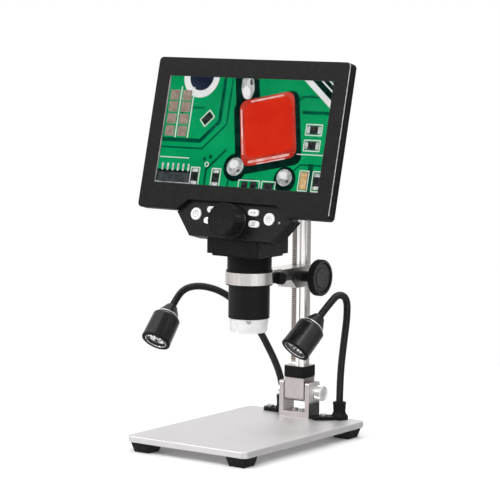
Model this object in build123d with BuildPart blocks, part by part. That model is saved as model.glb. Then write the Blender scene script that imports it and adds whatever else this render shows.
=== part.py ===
"""LCD digital microscope on a rack-and-pinion stand, in millimetres.

The origin is the point of the stage where the optical axis meets it, +Z is up and -Y faces
the person at the screen.  The screen, its buttons and its knob are drawn on a plane of
their own, which leans back from the vertical.
"""
import os
from math import atan, cos, degrees, pi, radians, sin, tan

from build123d import *

# ---------------------------------------------------------------- driving dimensions
# Fits
RUN = 0.05                # radial running clearance of a shaft in its bore
SLIP = 0.2                # clearance of a part that only has to pass
SEAT = 0.05               # gap between faces that slide on each other
EDGE = 0.3                # small broken edge

# Stage plate and its feet
STAGE_W = 112.4
STAGE_D = 166.0
STAGE_T = 5.0
STAGE_CORNER = 5.0
STAGE_X = -2.5            # centre of the plate from the optical axis
STAGE_BEHIND = 15.3       # back edge of the plate behind the column
STAGE_EDGE = 0.8
FOOT_TOP = 20.0
FOOT_BOTTOM = 14.0
FOOT_H = 8.0
FOOT_CORNER = 1.0
FOOT_INSET = 11.5         # centre of a foot from the edges of the plate
FOOT_RECESS_R = 3.8
FOOT_RECESS_H = 4.6
SCREW_R = 1.5             # M3 shank
SCREW_HEAD_R = 2.8
SCREW_HEAD_H = 1.8
SCREW_HEAD_EDGE = 0.5
SCREW_BITE = 3.6          # length of thread in the plate

# Column pivot and its bracket
COLUMN_Y = 71.8           # centre of the column behind the optical axis
BRACKET_W = 28.6
BRACKET_D = 15.7
BRACKET_H = 29.0
BRACKET_EAR = 3.9
BRACKET_WEB = 4.6
BRACKET_ROUND = 2.0
BRACKET_SCREW_PITCH = 8.0
PIVOT_Z = 20.7
PIVOT_R = 2.9
WASHER_T = 1.1
WASHER_R = 6.0
BLOCK_D = 15.4
BLOCK_BOTTOM = 13.0
BLOCK_TOP = 32.0
BLOCK_ROUND = 4.0
THUMB_R = 6.2
THUMB_T = 6.2
THUMB_X = 17.4            # inner face of the thumb screw's head
THUMB_FLUTES = (20, 0.35, 0.7)   # count, centre of a flute beyond the rim, its radius
THUMB_RIM = 1.6           # rim round the sunk face of the head
THUMB_SINK = 0.6
TILT_NUT_R = 4.6
TILT_NUT_T = 3.4
TILT_TIP = 1.0            # end of the screw beyond its nut

# Column, its rack and collar
COLUMN_W = 13.0
COLUMN_D = 8.0
COLUMN_TOP = 205.0
COLUMN_SOCKET = 7.0       # depth of the column's end in the pivot block
COLLAR_W = 19.0
COLLAR_D = 17.5
COLLAR_H = 9.5
COLLAR_EDGE = 1.2
CAP_T = 3.0
CAP_OVER = 0.5            # cap beyond the column, all round
CAP_CORNER = 1.0
CAP_EDGE = 0.8
GROOVE_W = 1.8
GROOVE_X = 2.2
GROOVE_DEEP = 1.0
SIDE_GROOVE_W = 2.9
SIDE_GROOVE_DEEP = 1.2
RACK_W = 4.9
RACK_D = 2.6
RACK_SINK = 0.1           # tips of the teeth behind the front of the column
RACK_BOTTOM = 44.0
RACK_TOP = 200.0
MODULE = 0.5
PINION_TEETH = 16
PRESSURE = 20.0
BACKLASH = 0.12

# Carriage: column block, arm and ring
RING_Z = 119.3            # mid height of the ring
RING_H = 9.3
RING_R = 18.7
RING_WALL = 1.65
LINER_LIP = 1.1
LINER_LIP_R = 18.1
ARM_W = 17.0
ARM_TOP = 122.7
ARM_BOTTOM = 113.4
BLOCK_FRONT = 53.4
CARRIAGE_BOTTOM = 106.2
CARRIAGE_BACK = 4.0       # wall behind the column
CARRIAGE_ROUND = 1.5
ARM_ROOT = 3.0            # depth of the arm and of the ears in the ring
STEP_RUN = 8.4            # length of the sloping step under the arm
EAR_W = 21.0
EAR_END = 28.5
SLIT_W = 1.6
SLIT_END = 38.0
CLAMP_Y = 22.6
CLAMP_Z = 117.3
CLAMP_R = 2.0
CLAMP_KNOB_R = 4.8
CLAMP_KNOB_L = 6.2
CLAMP_GROOVE_W = 1.0        # groove between the two halves of the knob's rim
CLAMP_GROOVE_R = 3.6
CLAMP_FLUTES = (14, 0.4, 0.75)

# Coarse focus wheel
PINION_Z = 114.6
SHAFT_R = 2.5
HUB_R = 4.2
HUB_STEP_R = 3.6
HUB_SPIGOT_R = 3.2
HUB_SPIGOT_L = 6.5
HUB_STEP_X = 13.0
HUB_END = 20.0
WHEEL_R = 14.5
WHEEL_T = 6.0
WHEEL_FLUTES = (40, 0.45, 0.75)
WHEEL_FACE_R = 12.4
WHEEL_DISH = 2.0
WHEEL_CAP_R = 7.8

# Screen
TILT = 13.7               # lean of the screen from the vertical, degrees
SCREEN_Y = -12.5
SCREEN_Z = 229.2
SCREEN_CORNER = 3.5
BEZEL_T = 4.0
BEZEL_LIP = 0.9
BEZEL_EDGE = 0.7
VIEW_W = 154.2
VIEW_H = 85.9
VIEW_UP = 2.8             # centre of the view above the centre of the frame
GLASS_LAP = 2.0           # glass beyond the view
GLASS_T = 1.1
LCD_SIDE = 5.4            # display module beyond the view, at its sides and its ends
LCD_END = 5.5
LCD_T = 5.5
FRAME_SIDE = 6.95         # frame beyond the display module
FRAME_END = 11.6
RIM_DEEP = 8.6
SHELL_DEEP = 19.0
SHELL_TAPER = 45.0
WALL = 2.0
PORT_W = 9.0
PORT_H = 3.4

# Control panel, a hexagon below the view
PANEL_T = 2.5
PANEL_BELOW = 5.95        # top of the panel below the display module
PANEL_TOP_HALF = 41.0
PANEL_SIDE_DROP = 9.6     # widest place of the panel below its top
PANEL_SIDE_HALF = 53.0
PANEL_DROP = 27.6
PANEL_BOTTOM_HALF = 38.2
KNOB_DROP = 14.4          # places on the panel are measured down from its top
KNOB_BASE_R = 13.4
KNOB_H = 14.0
KNOB_TAPER = 3.0
KNOB_FLUTES = (40, 0.5, 0.85)
KNOB_GAP = 0.3
KNOB_SHAFT_R = 3.0
KNOB_SHAFT_TAIL = 5.0     # shaft behind the panel
KNOB_RING_R = 4.6         # retaining collar of the shaft
KNOB_RING_T = 1.2
ROUND_BUTTON_R = 4.8
ROUND_BUTTON = (34.3, 10.3)
PILL_W = 10.0
PILL_H = 5.1
UPPER_PILL = (19.2, 6.2)
LOWER_PILL = (21.0, 14.8)
BUTTON_PROUD = 1.0
BUTTON_TRAVEL = 0.8
BUTTON_FLANGE = 0.8
BUTTON_FLANGE_T = 0.8
BUTTON_EDGE = 0.4
LED_R = 0.9
LED_PROUD = 0.1
LED_PLACE = (43.6, 12.3)
SWITCH_GAP = 0.05
SWITCH_W = 4.5
SWITCH_T = 2.4
BOARD_T = 1.6
BOARD_SLACK = 2.2         # edge of the button board from the wall of the shell
BOARD_HOLE_R = 5.5        # hole of the button board round the knob's shaft

# Inside the head
POST_H = 2.5              # posts of the main board
POST_R = 2.5
POST_INSET = 4.0          # centre of a post from the edges of the main board
POST_PITCH = 74.0         # posts of the button board
POST_DROP = 2.0           # those posts below the panel's widest place
BOSS_WALL = 2.0           # plastic round a housing screw
INSIDE_UP = 6.0           # middle of the board and the cell above that of the frame
BOARD_SIDE = 10.45        # edges of the main board from the side, middle and ends
BOARD_MIDDLE = 1.0
BOARD_END = 27.05
CHIP_W = 14.0
CHIP_T = 1.4
CHIP_PITCH = 30.0
PORT_IN = 4.5             # mouth of the charging socket from the side of the frame
PORT_L = 8.0
PORT_WALL = 0.5
BATTERY_SIDE = 26.45      # edges of the cell from the side, middle and ends
BATTERY_MIDDLE = 13.0
BATTERY_END = 29.05
BATTERY_T = 6.5
BATTERY_EDGE = 3.0
HOUSING_SCREW_IN = 17.2   # centre of a screw from the sides and ends of the frame
HOUSING_SCREW_L = 9.0
HEAD_SINK = 1.2           # depth of the screws' heads in the back

# Optics housing and barrel
HOUSING_W = 50.2
HOUSING_FRONT = -23.8
HOUSING_BACK = 18.4
HOUSING_BOTTOM = 136.6
HOUSING_STEP_H = 2.0
HOUSING_STEP_IN = 2.6
HOUSING_STEP_TAPER = 15.0
HOUSING_TOP = 184.0
HOUSING_SLOPE = 11.0
HOUSING_ROUND = 3.5
HOUSING_ROOF = 145.0      # roof of the room in front, below the hexagonal body
BARREL_R = 16.1
BARREL_BOTTOM = 87.8
GRIP_R = 17.4
NECK_R = 13.2
BARREL_TOP = 142.0
BARREL_BORE = 13.5
BORE_TOP = 118.0          # height where the bore narrows
UPPER_BORE = 11.5
CAP_R = 15.3
CAP_TIP_R = 14.2
CAP_H = 11.0
CAP_WALL = 1.8
CAP_WINDOW_R = 8.0
CAP_TIP_ROUND = 1.0
LED_BOARD_H = 1.6
LED_COUNT = 8
LED_CIRCLE_R = 10.2
LED_CHIP = 2.8
LED_CHIP_T = 1.0
SENSOR_W = 9.0
SENSOR_D = 7.0
SENSOR_H = 1.4
CARRIER_BOTTOM = 100.0
CARRIER_H = 12.0
CARRIER_LIP = 0.8         # lip and floor that the lens lies on
CARRIER_FLOOR = 2.0
LENS_R = 8.0
LENS_T = 3.0

# Lamps
LAMP_FOOT_BEHIND = 8.2    # lamp feet behind the column
LAMP_COLLAR_R = 5.1
LAMP_COLLAR_TOP = 14.0
LAMP_FLARE_TOP = 9.0      # height where the flare of a foot meets its collar
LAMP_FLARE_HOLLOW = 0.28  # the flare's middle between collar and rim, as a share
LAMP_TAB_T = 2.9
LAMP_TAB_R = 5.7          # half width of a tab and its round end
LEFT_FOOT = (-21.5, 6.4, 180.0, 12.0, 12.0)   # place, flare, heading, tab, screw
RIGHT_FOOT = (33.2, 7.0, 225.0, 17.0, 12.9)
NECK_TUBE_R = 2.9
NECK_START = 3.2
NECK_FIRST = 18.0         # height of the neck's first bend
NECK_LEAD = 5.0           # straight end of the neck before the boot
NECK_BEND = 0.45          # share of the shorter run that a bend may take
LAMP_R = 12.0
LAMP_BACK_R = 11.2
LAMP_SHOULDER_R = 8.4
LAMP_SHOULDER = 3.2
LAMP_L = 26.0
LAMP_WALL = 1.5
LAMP_LIP = 2.6
LAMP_LIP_T = 1.0
LAMP_DRAFT = 0.6          # inside of the shell, narrower at its floor
LAMP_BOOT_L = 9.0
LAMP_BOOT_R = 7.3
LAMP_BOOT_BAND = 1.0      # straight rim of the boot
LAMP_BOOT_TIP_R = 3.6
LAMP_SOCKET = 5.0         # depth of the neck's end in the boot
REFLECTOR_L = 12.0
REFLECTOR_GAP = 2.0       # floor of the shell behind the reflector's depth
REFLECTOR_RIM = 1.0
REFLECTOR_SLACK = 0.3
REFLECTOR_T = 0.7
REFLECTOR_BACK_R = 3.4
REFLECTOR_FLOOR = 0.8
LENS_DISC_T = 1.2

RIGHT_LAMP = (33.0, 40.6, 80.1)          # middle of the shell's back
RIGHT_AIM = (-0.229, -0.658, -0.718)
RIGHT_ROUTE = [                          # bends of the right neck, from its foot up
    (33.3, 80.9, 40.0), (35.0, 82.2, 62.0), (37.2, 83.0, 82.0), (38.4, 80.8, 98.0),
    (37.6, 69.0, 102.6), (37.2, 57.6, 96.0),
]
LEFT_LAMP = (-102.5, 31.4, 77.0)
LEFT_AIM = (0.012, -0.652, -0.758)
LEFT_ROUTE = [                           # bends of the left neck, from its foot up
    (-24.8, 80.2, 30.0), (-29.8, 80.5, 40.0), (-35.2, 79.6, 50.0),
    (-43.0, 75.0, 67.0), (-54.5, 67.8, 84.0), (-68.0, 58.6, 97.0), (-83.0, 48.8, 101.6),
    (-96.5, 44.6, 98.2),
]

# ---------------------------------------------------------------- derived places
os.makedirs("parts", exist_ok=True)

stage_y = COLUMN_Y + STAGE_BEHIND - STAGE_D / 2
lamp_foot_y = COLUMN_Y + LAMP_FOOT_BEHIND
glass_w = VIEW_W + 2 * GLASS_LAP
glass_h = VIEW_H + 2 * GLASS_LAP
lcd_w = VIEW_W + 2 * LCD_SIDE
lcd_h = VIEW_H + 2 * LCD_END
screen_w = lcd_w + 2 * FRAME_SIDE
screen_h = lcd_h + 2 * FRAME_END
panel_top = VIEW_UP - lcd_h / 2 - PANEL_BELOW
panel_side = panel_top - PANEL_SIDE_DROP
panel_bottom = panel_top - PANEL_DROP
knob_up = panel_top - KNOB_DROP
led_place = (LED_PLACE[0], panel_top - LED_PLACE[1])
board_w = screen_w / 2 - BOARD_SIDE - BOARD_MIDDLE
board_h = screen_h - 2 * BOARD_END
board_place = (-BOARD_MIDDLE - board_w / 2, INSIDE_UP)
battery_w = screen_w / 2 - BATTERY_SIDE - BATTERY_MIDDLE
battery_h = screen_h - 2 * BATTERY_END
battery_place = (BATTERY_MIDDLE + battery_w / 2, INSIDE_UP)
screen = Plane(
    origin=(0, SCREEN_Y, SCREEN_Z),
    x_dir=(1, 0, 0),
    z_dir=(0, -cos(radians(TILT)), sin(radians(TILT))),
)
floor_z = -STAGE_T - FOOT_H
column_front = COLUMN_Y - COLUMN_D / 2
column_bottom = BLOCK_TOP - COLUMN_SOCKET
ear_inner = BRACKET_W / 2 - BRACKET_EAR
block_w = 2 * (ear_inner - WASHER_T - 2 * SEAT)
pitch = pi * MODULE
addendum = MODULE
dedendum = 1.25 * MODULE
rack_tip = column_front + RACK_SINK
pinion_y = rack_tip + addendum - MODULE * PINION_TEETH / 2
ring_bottom = RING_Z - RING_H / 2
ring_top = RING_Z + RING_H / 2
ring_bore = RING_R - RING_WALL
panel_face = -BEZEL_T
port_floor = -SHELL_DEEP + WALL + POST_H + BOARD_T
lamp_screw_places = [
    (x + out * cos(radians(heading)), lamp_foot_y + out * sin(radians(heading)))
    for x, flare_r, heading, tab, out in (LEFT_FOOT, RIGHT_FOOT)
]
housing_screw_places = [
    (sx * (screen_w / 2 - HOUSING_SCREW_IN), sy * (screen_h / 2 - HOUSING_SCREW_IN))
    for sx in (-1, 1)
    for sy in (-1, 1)
]
foot_places = [
    (STAGE_X + sx * (STAGE_W / 2 - FOOT_INSET), stage_y + sy * (STAGE_D / 2 - FOOT_INSET))
    for sx in (-1, 1)
    for sy in (-1, 1)
]


def on_side(up, out):
    """(y, z) of a point of the screen's own frame: up along it, out towards the viewer."""
    tilt = radians(TILT)
    return (
        SCREEN_Y + up * sin(tilt) - out * cos(tilt),
        SCREEN_Z + up * cos(tilt) + out * sin(tilt),
    )


def at_height(z, out):
    """(y, z) of the point at height z on a plane that lies out from the screen's own."""
    tilt = radians(TILT)
    return on_side((z - SCREEN_Z - out * sin(tilt)) / cos(tilt), out)


def panel_outline(inset=0.0):
    """Corners of the control panel's hexagon, moved in by inset."""
    half = [
        (PANEL_TOP_HALF - inset, panel_top - inset),
        (PANEL_SIDE_HALF - 1.3 * inset, panel_side),
        (PANEL_BOTTOM_HALF - inset, panel_bottom + inset),
    ]
    return half + [(-x, y) for x, y in reversed(half)]


def fluted_disc(radius, flutes):
    """Draws a disc with round flutes in its rim."""
    count, beyond, flute_r = flutes
    Circle(radius)
    with PolarLocations(radius + beyond, count):
        Circle(flute_r, mode=Mode.SUBTRACT)


def along(origin, aim):
    """Plane through a lamp's middle line, with its local Y along the aim."""
    sideways = Vector(*aim).cross(Vector(0, 0, 1)).normalized()
    return Plane(origin=origin, x_dir=sideways, z_dir=sideways.cross(Vector(*aim)))


def save(part, name):
    """Label a finished piece and write its file."""
    part.label = name
    export_step(part, f"parts/{name}.step")


# ---------------------------------------------------------------- stand
# Anodised aluminium plate with blind tapped holes for the feet, the bracket and the lamps.
with BuildPart() as stage_plate:
    with BuildSketch(Plane.XY.offset(-STAGE_T)):
        with Locations((STAGE_X, stage_y)):
            RectangleRounded(STAGE_W, STAGE_D, STAGE_CORNER)
    extrude(amount=STAGE_T)
    fillet(stage_plate.faces().sort_by(Axis.Z)[-1].edges(), STAGE_EDGE)
    chamfer(stage_plate.faces().sort_by(Axis.Z)[0].edges(), STAGE_EDGE / 2)
    with BuildSketch(Plane.XY.offset(-STAGE_T)):
        with Locations(*foot_places):
            Circle(SCREW_R + RUN)
    extrude(amount=SCREW_BITE + RUN, mode=Mode.SUBTRACT)
    with BuildSketch():
        with Locations((0, COLUMN_Y)):
            with GridLocations(BRACKET_SCREW_PITCH, 0, 2, 1):
                Circle(SCREW_R + RUN)
        with Locations(*lamp_screw_places):
            Circle(SCREW_R + RUN)
    extrude(amount=-SCREW_BITE - RUN, mode=Mode.SUBTRACT)
save(stage_plate.part, "stage_plate")

# Four moulded rubber feet, each a square frustum with a recess for its screw.
with BuildPart() as feet:
    with BuildSketch(Plane.XY.offset(floor_z)):
        with Locations(*foot_places):
            RectangleRounded(FOOT_BOTTOM, FOOT_BOTTOM, FOOT_CORNER)
    extrude(amount=FOOT_H, taper=-degrees(atan((FOOT_TOP - FOOT_BOTTOM) / 2 / FOOT_H)))
    with BuildSketch(Plane.XY.offset(floor_z)):
        with Locations(*foot_places):
            Circle(FOOT_RECESS_R)
    extrude(amount=FOOT_RECESS_H, mode=Mode.SUBTRACT)
    with BuildSketch(Plane.XY.offset(floor_z)):
        with Locations(*foot_places):
            Circle(SCREW_R + RUN)
    extrude(amount=FOOT_H, mode=Mode.SUBTRACT)
save(feet.part, "feet")

# Screws of the feet, heads up inside the recesses.
with BuildPart() as foot_screws:
    with BuildSketch(Plane.XY.offset(floor_z + FOOT_RECESS_H - SCREW_HEAD_H)):
        with Locations(*foot_places):
            Circle(SCREW_HEAD_R)
    extrude(amount=SCREW_HEAD_H)
    with BuildSketch(Plane.XY.offset(floor_z + FOOT_RECESS_H)):
        with Locations(*foot_places):
            Circle(SCREW_R)
    extrude(amount=FOOT_H - FOOT_RECESS_H + SCREW_BITE)
save(foot_screws.part, "foot_screws")

# U-bracket, cut from a drawn channel: two ears on a web, with a bore for the thumb screw.
with BuildPart() as bracket:
    with BuildSketch(Plane.XZ.offset(-COLUMN_Y + BRACKET_D / 2)):
        with BuildLine():
            Polyline(
                (-BRACKET_W / 2, 0), (BRACKET_W / 2, 0), (BRACKET_W / 2, BRACKET_H),
                (ear_inner, BRACKET_H), (ear_inner, BRACKET_WEB),
                (-ear_inner, BRACKET_WEB), (-ear_inner, BRACKET_H),
                (-BRACKET_W / 2, BRACKET_H), close=True,
            )
        make_face()
    extrude(amount=-BRACKET_D)
    ear_tops = bracket.edges().filter_by(Axis.X).group_by(Axis.Z)[-1]
    fillet(ear_tops, BRACKET_ROUND)
    with BuildSketch(Plane.YZ.offset(-BRACKET_W / 2)):
        with Locations((COLUMN_Y, PIVOT_Z)):
            Circle(PIVOT_R + RUN)
    extrude(amount=BRACKET_W, mode=Mode.SUBTRACT)
    with BuildSketch():
        with Locations((0, COLUMN_Y)):
            with GridLocations(BRACKET_SCREW_PITCH, 0, 2, 1):
                Circle(SCREW_R + RUN)
    extrude(amount=BRACKET_WEB, mode=Mode.SUBTRACT)
save(bracket.part, "bracket")

# Pan-head screws that hold the bracket's web down on the plate.
with BuildPart() as bracket_screws:
    with BuildSketch(Plane.XY.offset(-SCREW_BITE)):
        with Locations((0, COLUMN_Y)):
            with GridLocations(BRACKET_SCREW_PITCH, 0, 2, 1):
                Circle(SCREW_R)
    extrude(amount=SCREW_BITE + BRACKET_WEB)
    with BuildSketch(Plane.XY.offset(BRACKET_WEB)):
        with Locations((0, COLUMN_Y)):
            with GridLocations(BRACKET_SCREW_PITCH, 0, 2, 1):
                Circle(SCREW_HEAD_R)
    extrude(amount=SCREW_HEAD_H)
    head_tops = bracket_screws.faces().filter_by(Axis.Z).group_by(Axis.Z)[-1]
    chamfer(head_tops.edges(), SCREW_HEAD_EDGE)
save(bracket_screws.part, "bracket_screws")

# Moulded foot of each lamp: a flared collar for the neck and a tab with a screw.
for name, foot, screw_place in zip(
    ("lamp_foot_left", "lamp_foot_right"), (LEFT_FOOT, RIGHT_FOOT), lamp_screw_places
):
    foot_x, flare_r, heading, tab_l, screw_out = foot
    with BuildPart() as lamp_foot:
        upright = Plane(origin=(foot_x, lamp_foot_y, 0), x_dir=(1, 0, 0), z_dir=(0, -1, 0))
        with BuildSketch(upright):
            hollow_r = LAMP_COLLAR_R + LAMP_FLARE_HOLLOW * (flare_r - LAMP_COLLAR_R)
            hollow_z = LAMP_TAB_T + LAMP_FLARE_HOLLOW * (LAMP_FLARE_TOP - LAMP_TAB_T)
            with BuildLine():
                Polyline((0, LAMP_COLLAR_TOP), (0, 0), (flare_r, 0), (flare_r, LAMP_TAB_T))
                ThreePointArc(
                    (flare_r, LAMP_TAB_T), (hollow_r, hollow_z), (LAMP_COLLAR_R, LAMP_FLARE_TOP)
                )
                Polyline(
                    (LAMP_COLLAR_R, LAMP_FLARE_TOP), (LAMP_COLLAR_R, LAMP_COLLAR_TOP),
                    (0, LAMP_COLLAR_TOP),
                )
            make_face()
        revolve(axis=Axis((foot_x, lamp_foot_y, 0), (0, 0, 1)))
        with BuildSketch():
            with Locations(Location((foot_x, lamp_foot_y), heading)):
                with Locations((tab_l / 2, 0)):
                    SlotCenterToCenter(tab_l, 2 * LAMP_TAB_R)
        extrude(amount=LAMP_TAB_T)
        with BuildSketch():
            with Locations(screw_place):
                Circle(SCREW_R + RUN)
        extrude(amount=LAMP_TAB_T, mode=Mode.SUBTRACT)
        with BuildSketch(Plane.XY.offset(NECK_START - SLIP)):
            with Locations((foot_x, lamp_foot_y)):
                Circle(NECK_TUBE_R + RUN)
        extrude(amount=LAMP_COLLAR_TOP, mode=Mode.SUBTRACT)
    save(lamp_foot.part, name)

# Screws through the tabs of the lamp feet.
with BuildPart() as lamp_foot_screws:
    with BuildSketch(Plane.XY.offset(-SCREW_BITE)):
        with Locations(*lamp_screw_places):
            Circle(SCREW_R)
    extrude(amount=SCREW_BITE + LAMP_TAB_T)
    with BuildSketch(Plane.XY.offset(LAMP_TAB_T)):
        with Locations(*lamp_screw_places):
            Circle(SCREW_HEAD_R)
    extrude(amount=SCREW_HEAD_H)
    head_tops = lamp_foot_screws.faces().filter_by(Axis.Z).group_by(Axis.Z)[-1]
    chamfer(head_tops.edges(), SCREW_HEAD_EDGE)
save(lamp_foot_screws.part, "lamp_foot_screws")

# Hexagon nut of the tilt screw, held against the left ear.
with BuildPart() as tilt_nut:
    with BuildSketch(Plane.YZ.offset(-BRACKET_W / 2 - TILT_NUT_T)):
        with Locations((COLUMN_Y, PIVOT_Z)):
            RegularPolygon(TILT_NUT_R, 6)
            Circle(PIVOT_R + RUN, mode=Mode.SUBTRACT)
    extrude(amount=TILT_NUT_T)
save(tilt_nut.part, "tilt_nut")

# Thumb screw that is the column's pivot: a long shank with a fluted head.
with BuildPart() as tilt_screw:
    tilt_tip = -BRACKET_W / 2 - TILT_NUT_T - TILT_TIP
    with BuildSketch(Plane.YZ.offset(tilt_tip)):
        with Locations((COLUMN_Y, PIVOT_Z)):
            Circle(PIVOT_R)
    extrude(amount=THUMB_X - tilt_tip)
    with BuildSketch(Plane.YZ.offset(THUMB_X)):
        with Locations((COLUMN_Y, PIVOT_Z)):
            fluted_disc(THUMB_R, THUMB_FLUTES)
    extrude(amount=THUMB_T)
    with BuildSketch(Plane.YZ.offset(THUMB_X + THUMB_T)):
        with Locations((COLUMN_Y, PIVOT_Z)):
            Circle(THUMB_R - THUMB_RIM)
    extrude(amount=-THUMB_SINK, mode=Mode.SUBTRACT)
save(tilt_screw.part, "tilt_screw")

# ---------------------------------------------------------------- column
# Pivot block between the ears: rounded below so that it turns, with a socket on top.
with BuildPart() as pivot_block:
    with BuildSketch(Plane.YZ.offset(-block_w / 2)):
        with Locations((COLUMN_Y, (BLOCK_BOTTOM + BLOCK_TOP) / 2)):
            Rectangle(BLOCK_D, BLOCK_TOP - BLOCK_BOTTOM)
    extrude(amount=block_w)
    low_edges = pivot_block.edges().filter_by(Axis.X).group_by(Axis.Z)[0]
    fillet(low_edges, BLOCK_ROUND)
    with BuildSketch(Plane.XY.offset(BLOCK_TOP)):
        with Locations((0, COLUMN_Y)):
            Rectangle(COLUMN_W + 2 * SEAT, COLUMN_D + 2 * SEAT)
    extrude(amount=-COLUMN_SOCKET, mode=Mode.SUBTRACT)
    with BuildSketch(Plane.YZ.offset(-block_w / 2)):
        with Locations((COLUMN_Y, PIVOT_Z)):
            Circle(PIVOT_R + RUN)
    extrude(amount=block_w, mode=Mode.SUBTRACT)
save(pivot_block.part, "pivot_block")

# Clamped collar where the column enters the block.
with BuildPart() as collar:
    with BuildSketch(Plane.XY.offset(BLOCK_TOP)):
        with Locations((0, COLUMN_Y)):
            Rectangle(COLLAR_W, COLLAR_D)
    extrude(amount=COLLAR_H)
    chamfer(collar.faces().sort_by(Axis.Z)[0].edges(), COLLAR_EDGE)
    fillet(collar.edges().filter_by(Axis.Z), COLLAR_EDGE)
    with BuildSketch(Plane.XY.offset(BLOCK_TOP)):
        with Locations((0, COLUMN_Y)):
            Rectangle(COLUMN_W + 2 * SEAT, COLUMN_D + 2 * SEAT)
    extrude(amount=COLLAR_H, mode=Mode.SUBTRACT)
save(collar.part, "collar")

# Extruded aluminium column: a step for the rack, a groove in front and one on each side.
rack_x = -COLUMN_W / 2 + RACK_W / 2
with BuildPart() as column:
    with BuildSketch(Plane.XY.offset(column_bottom)):
        with Locations((0, COLUMN_Y)):
            Rectangle(COLUMN_W, COLUMN_D)
        with Locations((rack_x, column_front + RACK_D / 2)):
            Rectangle(RACK_W, RACK_D, mode=Mode.SUBTRACT)
        with Locations((GROOVE_X, column_front + GROOVE_DEEP / 2)):
            Rectangle(GROOVE_W, GROOVE_DEEP, mode=Mode.SUBTRACT)
        with Locations((COLUMN_W / 2 - SIDE_GROOVE_DEEP / 2, COLUMN_Y - SIDE_GROOVE_W / 2)):
            Rectangle(SIDE_GROOVE_DEEP, SIDE_GROOVE_W, mode=Mode.SUBTRACT)
        with Locations((-COLUMN_W / 2 + SIDE_GROOVE_DEEP / 2, COLUMN_Y + SIDE_GROOVE_W / 2)):
            Rectangle(SIDE_GROOVE_DEEP, SIDE_GROOVE_W, mode=Mode.SUBTRACT)
    extrude(amount=COLUMN_TOP - column_bottom)
save(column.part, "column")

# Toothed rack pressed into the step, with a tooth space level with the pinion.
tooth_slope = tan(radians(PRESSURE))
tooth_half = pitch / 4 - BACKLASH / 2
first_tooth = PINION_Z + pitch / 2 - pitch * int((PINION_Z - RACK_BOTTOM) / pitch)
tooth_levels = [
    first_tooth + pitch * n for n in range(int((RACK_TOP - first_tooth) / pitch))
]
with BuildPart() as rack:
    with BuildSketch(Plane.YZ.offset(-COLUMN_W / 2)):
        rack_root = rack_tip + addendum + dedendum
        rack_back = column_front + RACK_D
        with Locations(((rack_root + rack_back) / 2, (RACK_BOTTOM + RACK_TOP) / 2)):
            Rectangle(rack_back - rack_root, RACK_TOP - RACK_BOTTOM)
        root_half = tooth_half + dedendum * tooth_slope
        tip_half = tooth_half - addendum * tooth_slope
        for level in tooth_levels:
            with BuildLine():
                Polyline(
                    (rack_root, level - root_half), (rack_tip, level - tip_half),
                    (rack_tip, level + tip_half), (rack_root, level + root_half), close=True,
                )
            make_face()
    extrude(amount=RACK_W)
save(rack.part, "rack")

# Plastic washers that give the pivot its drag, one each side of the block.
with BuildPart() as friction_washers:
    for side in (-1, 1):
        middle = side * (ear_inner - SEAT - WASHER_T / 2)
        with BuildSketch(Plane.YZ.offset(middle)):
            with Locations((COLUMN_Y, PIVOT_Z)):
                Circle(WASHER_R)
                Circle(PIVOT_R + RUN, mode=Mode.SUBTRACT)
        extrude(amount=WASHER_T / 2, both=True)
save(friction_washers.part, "friction_washers")

# Plastic cap that closes the column and stops the carriage.
with BuildPart() as column_cap:
    with BuildSketch(Plane.XY.offset(COLUMN_TOP)):
        with Locations((0, COLUMN_Y)):
            RectangleRounded(COLUMN_W + 2 * CAP_OVER, COLUMN_D + 2 * CAP_OVER, CAP_CORNER)
    extrude(amount=CAP_T)
    fillet(column_cap.faces().sort_by(Axis.Z)[-1].edges(), CAP_EDGE)
save(column_cap.part, "column_cap")

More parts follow.
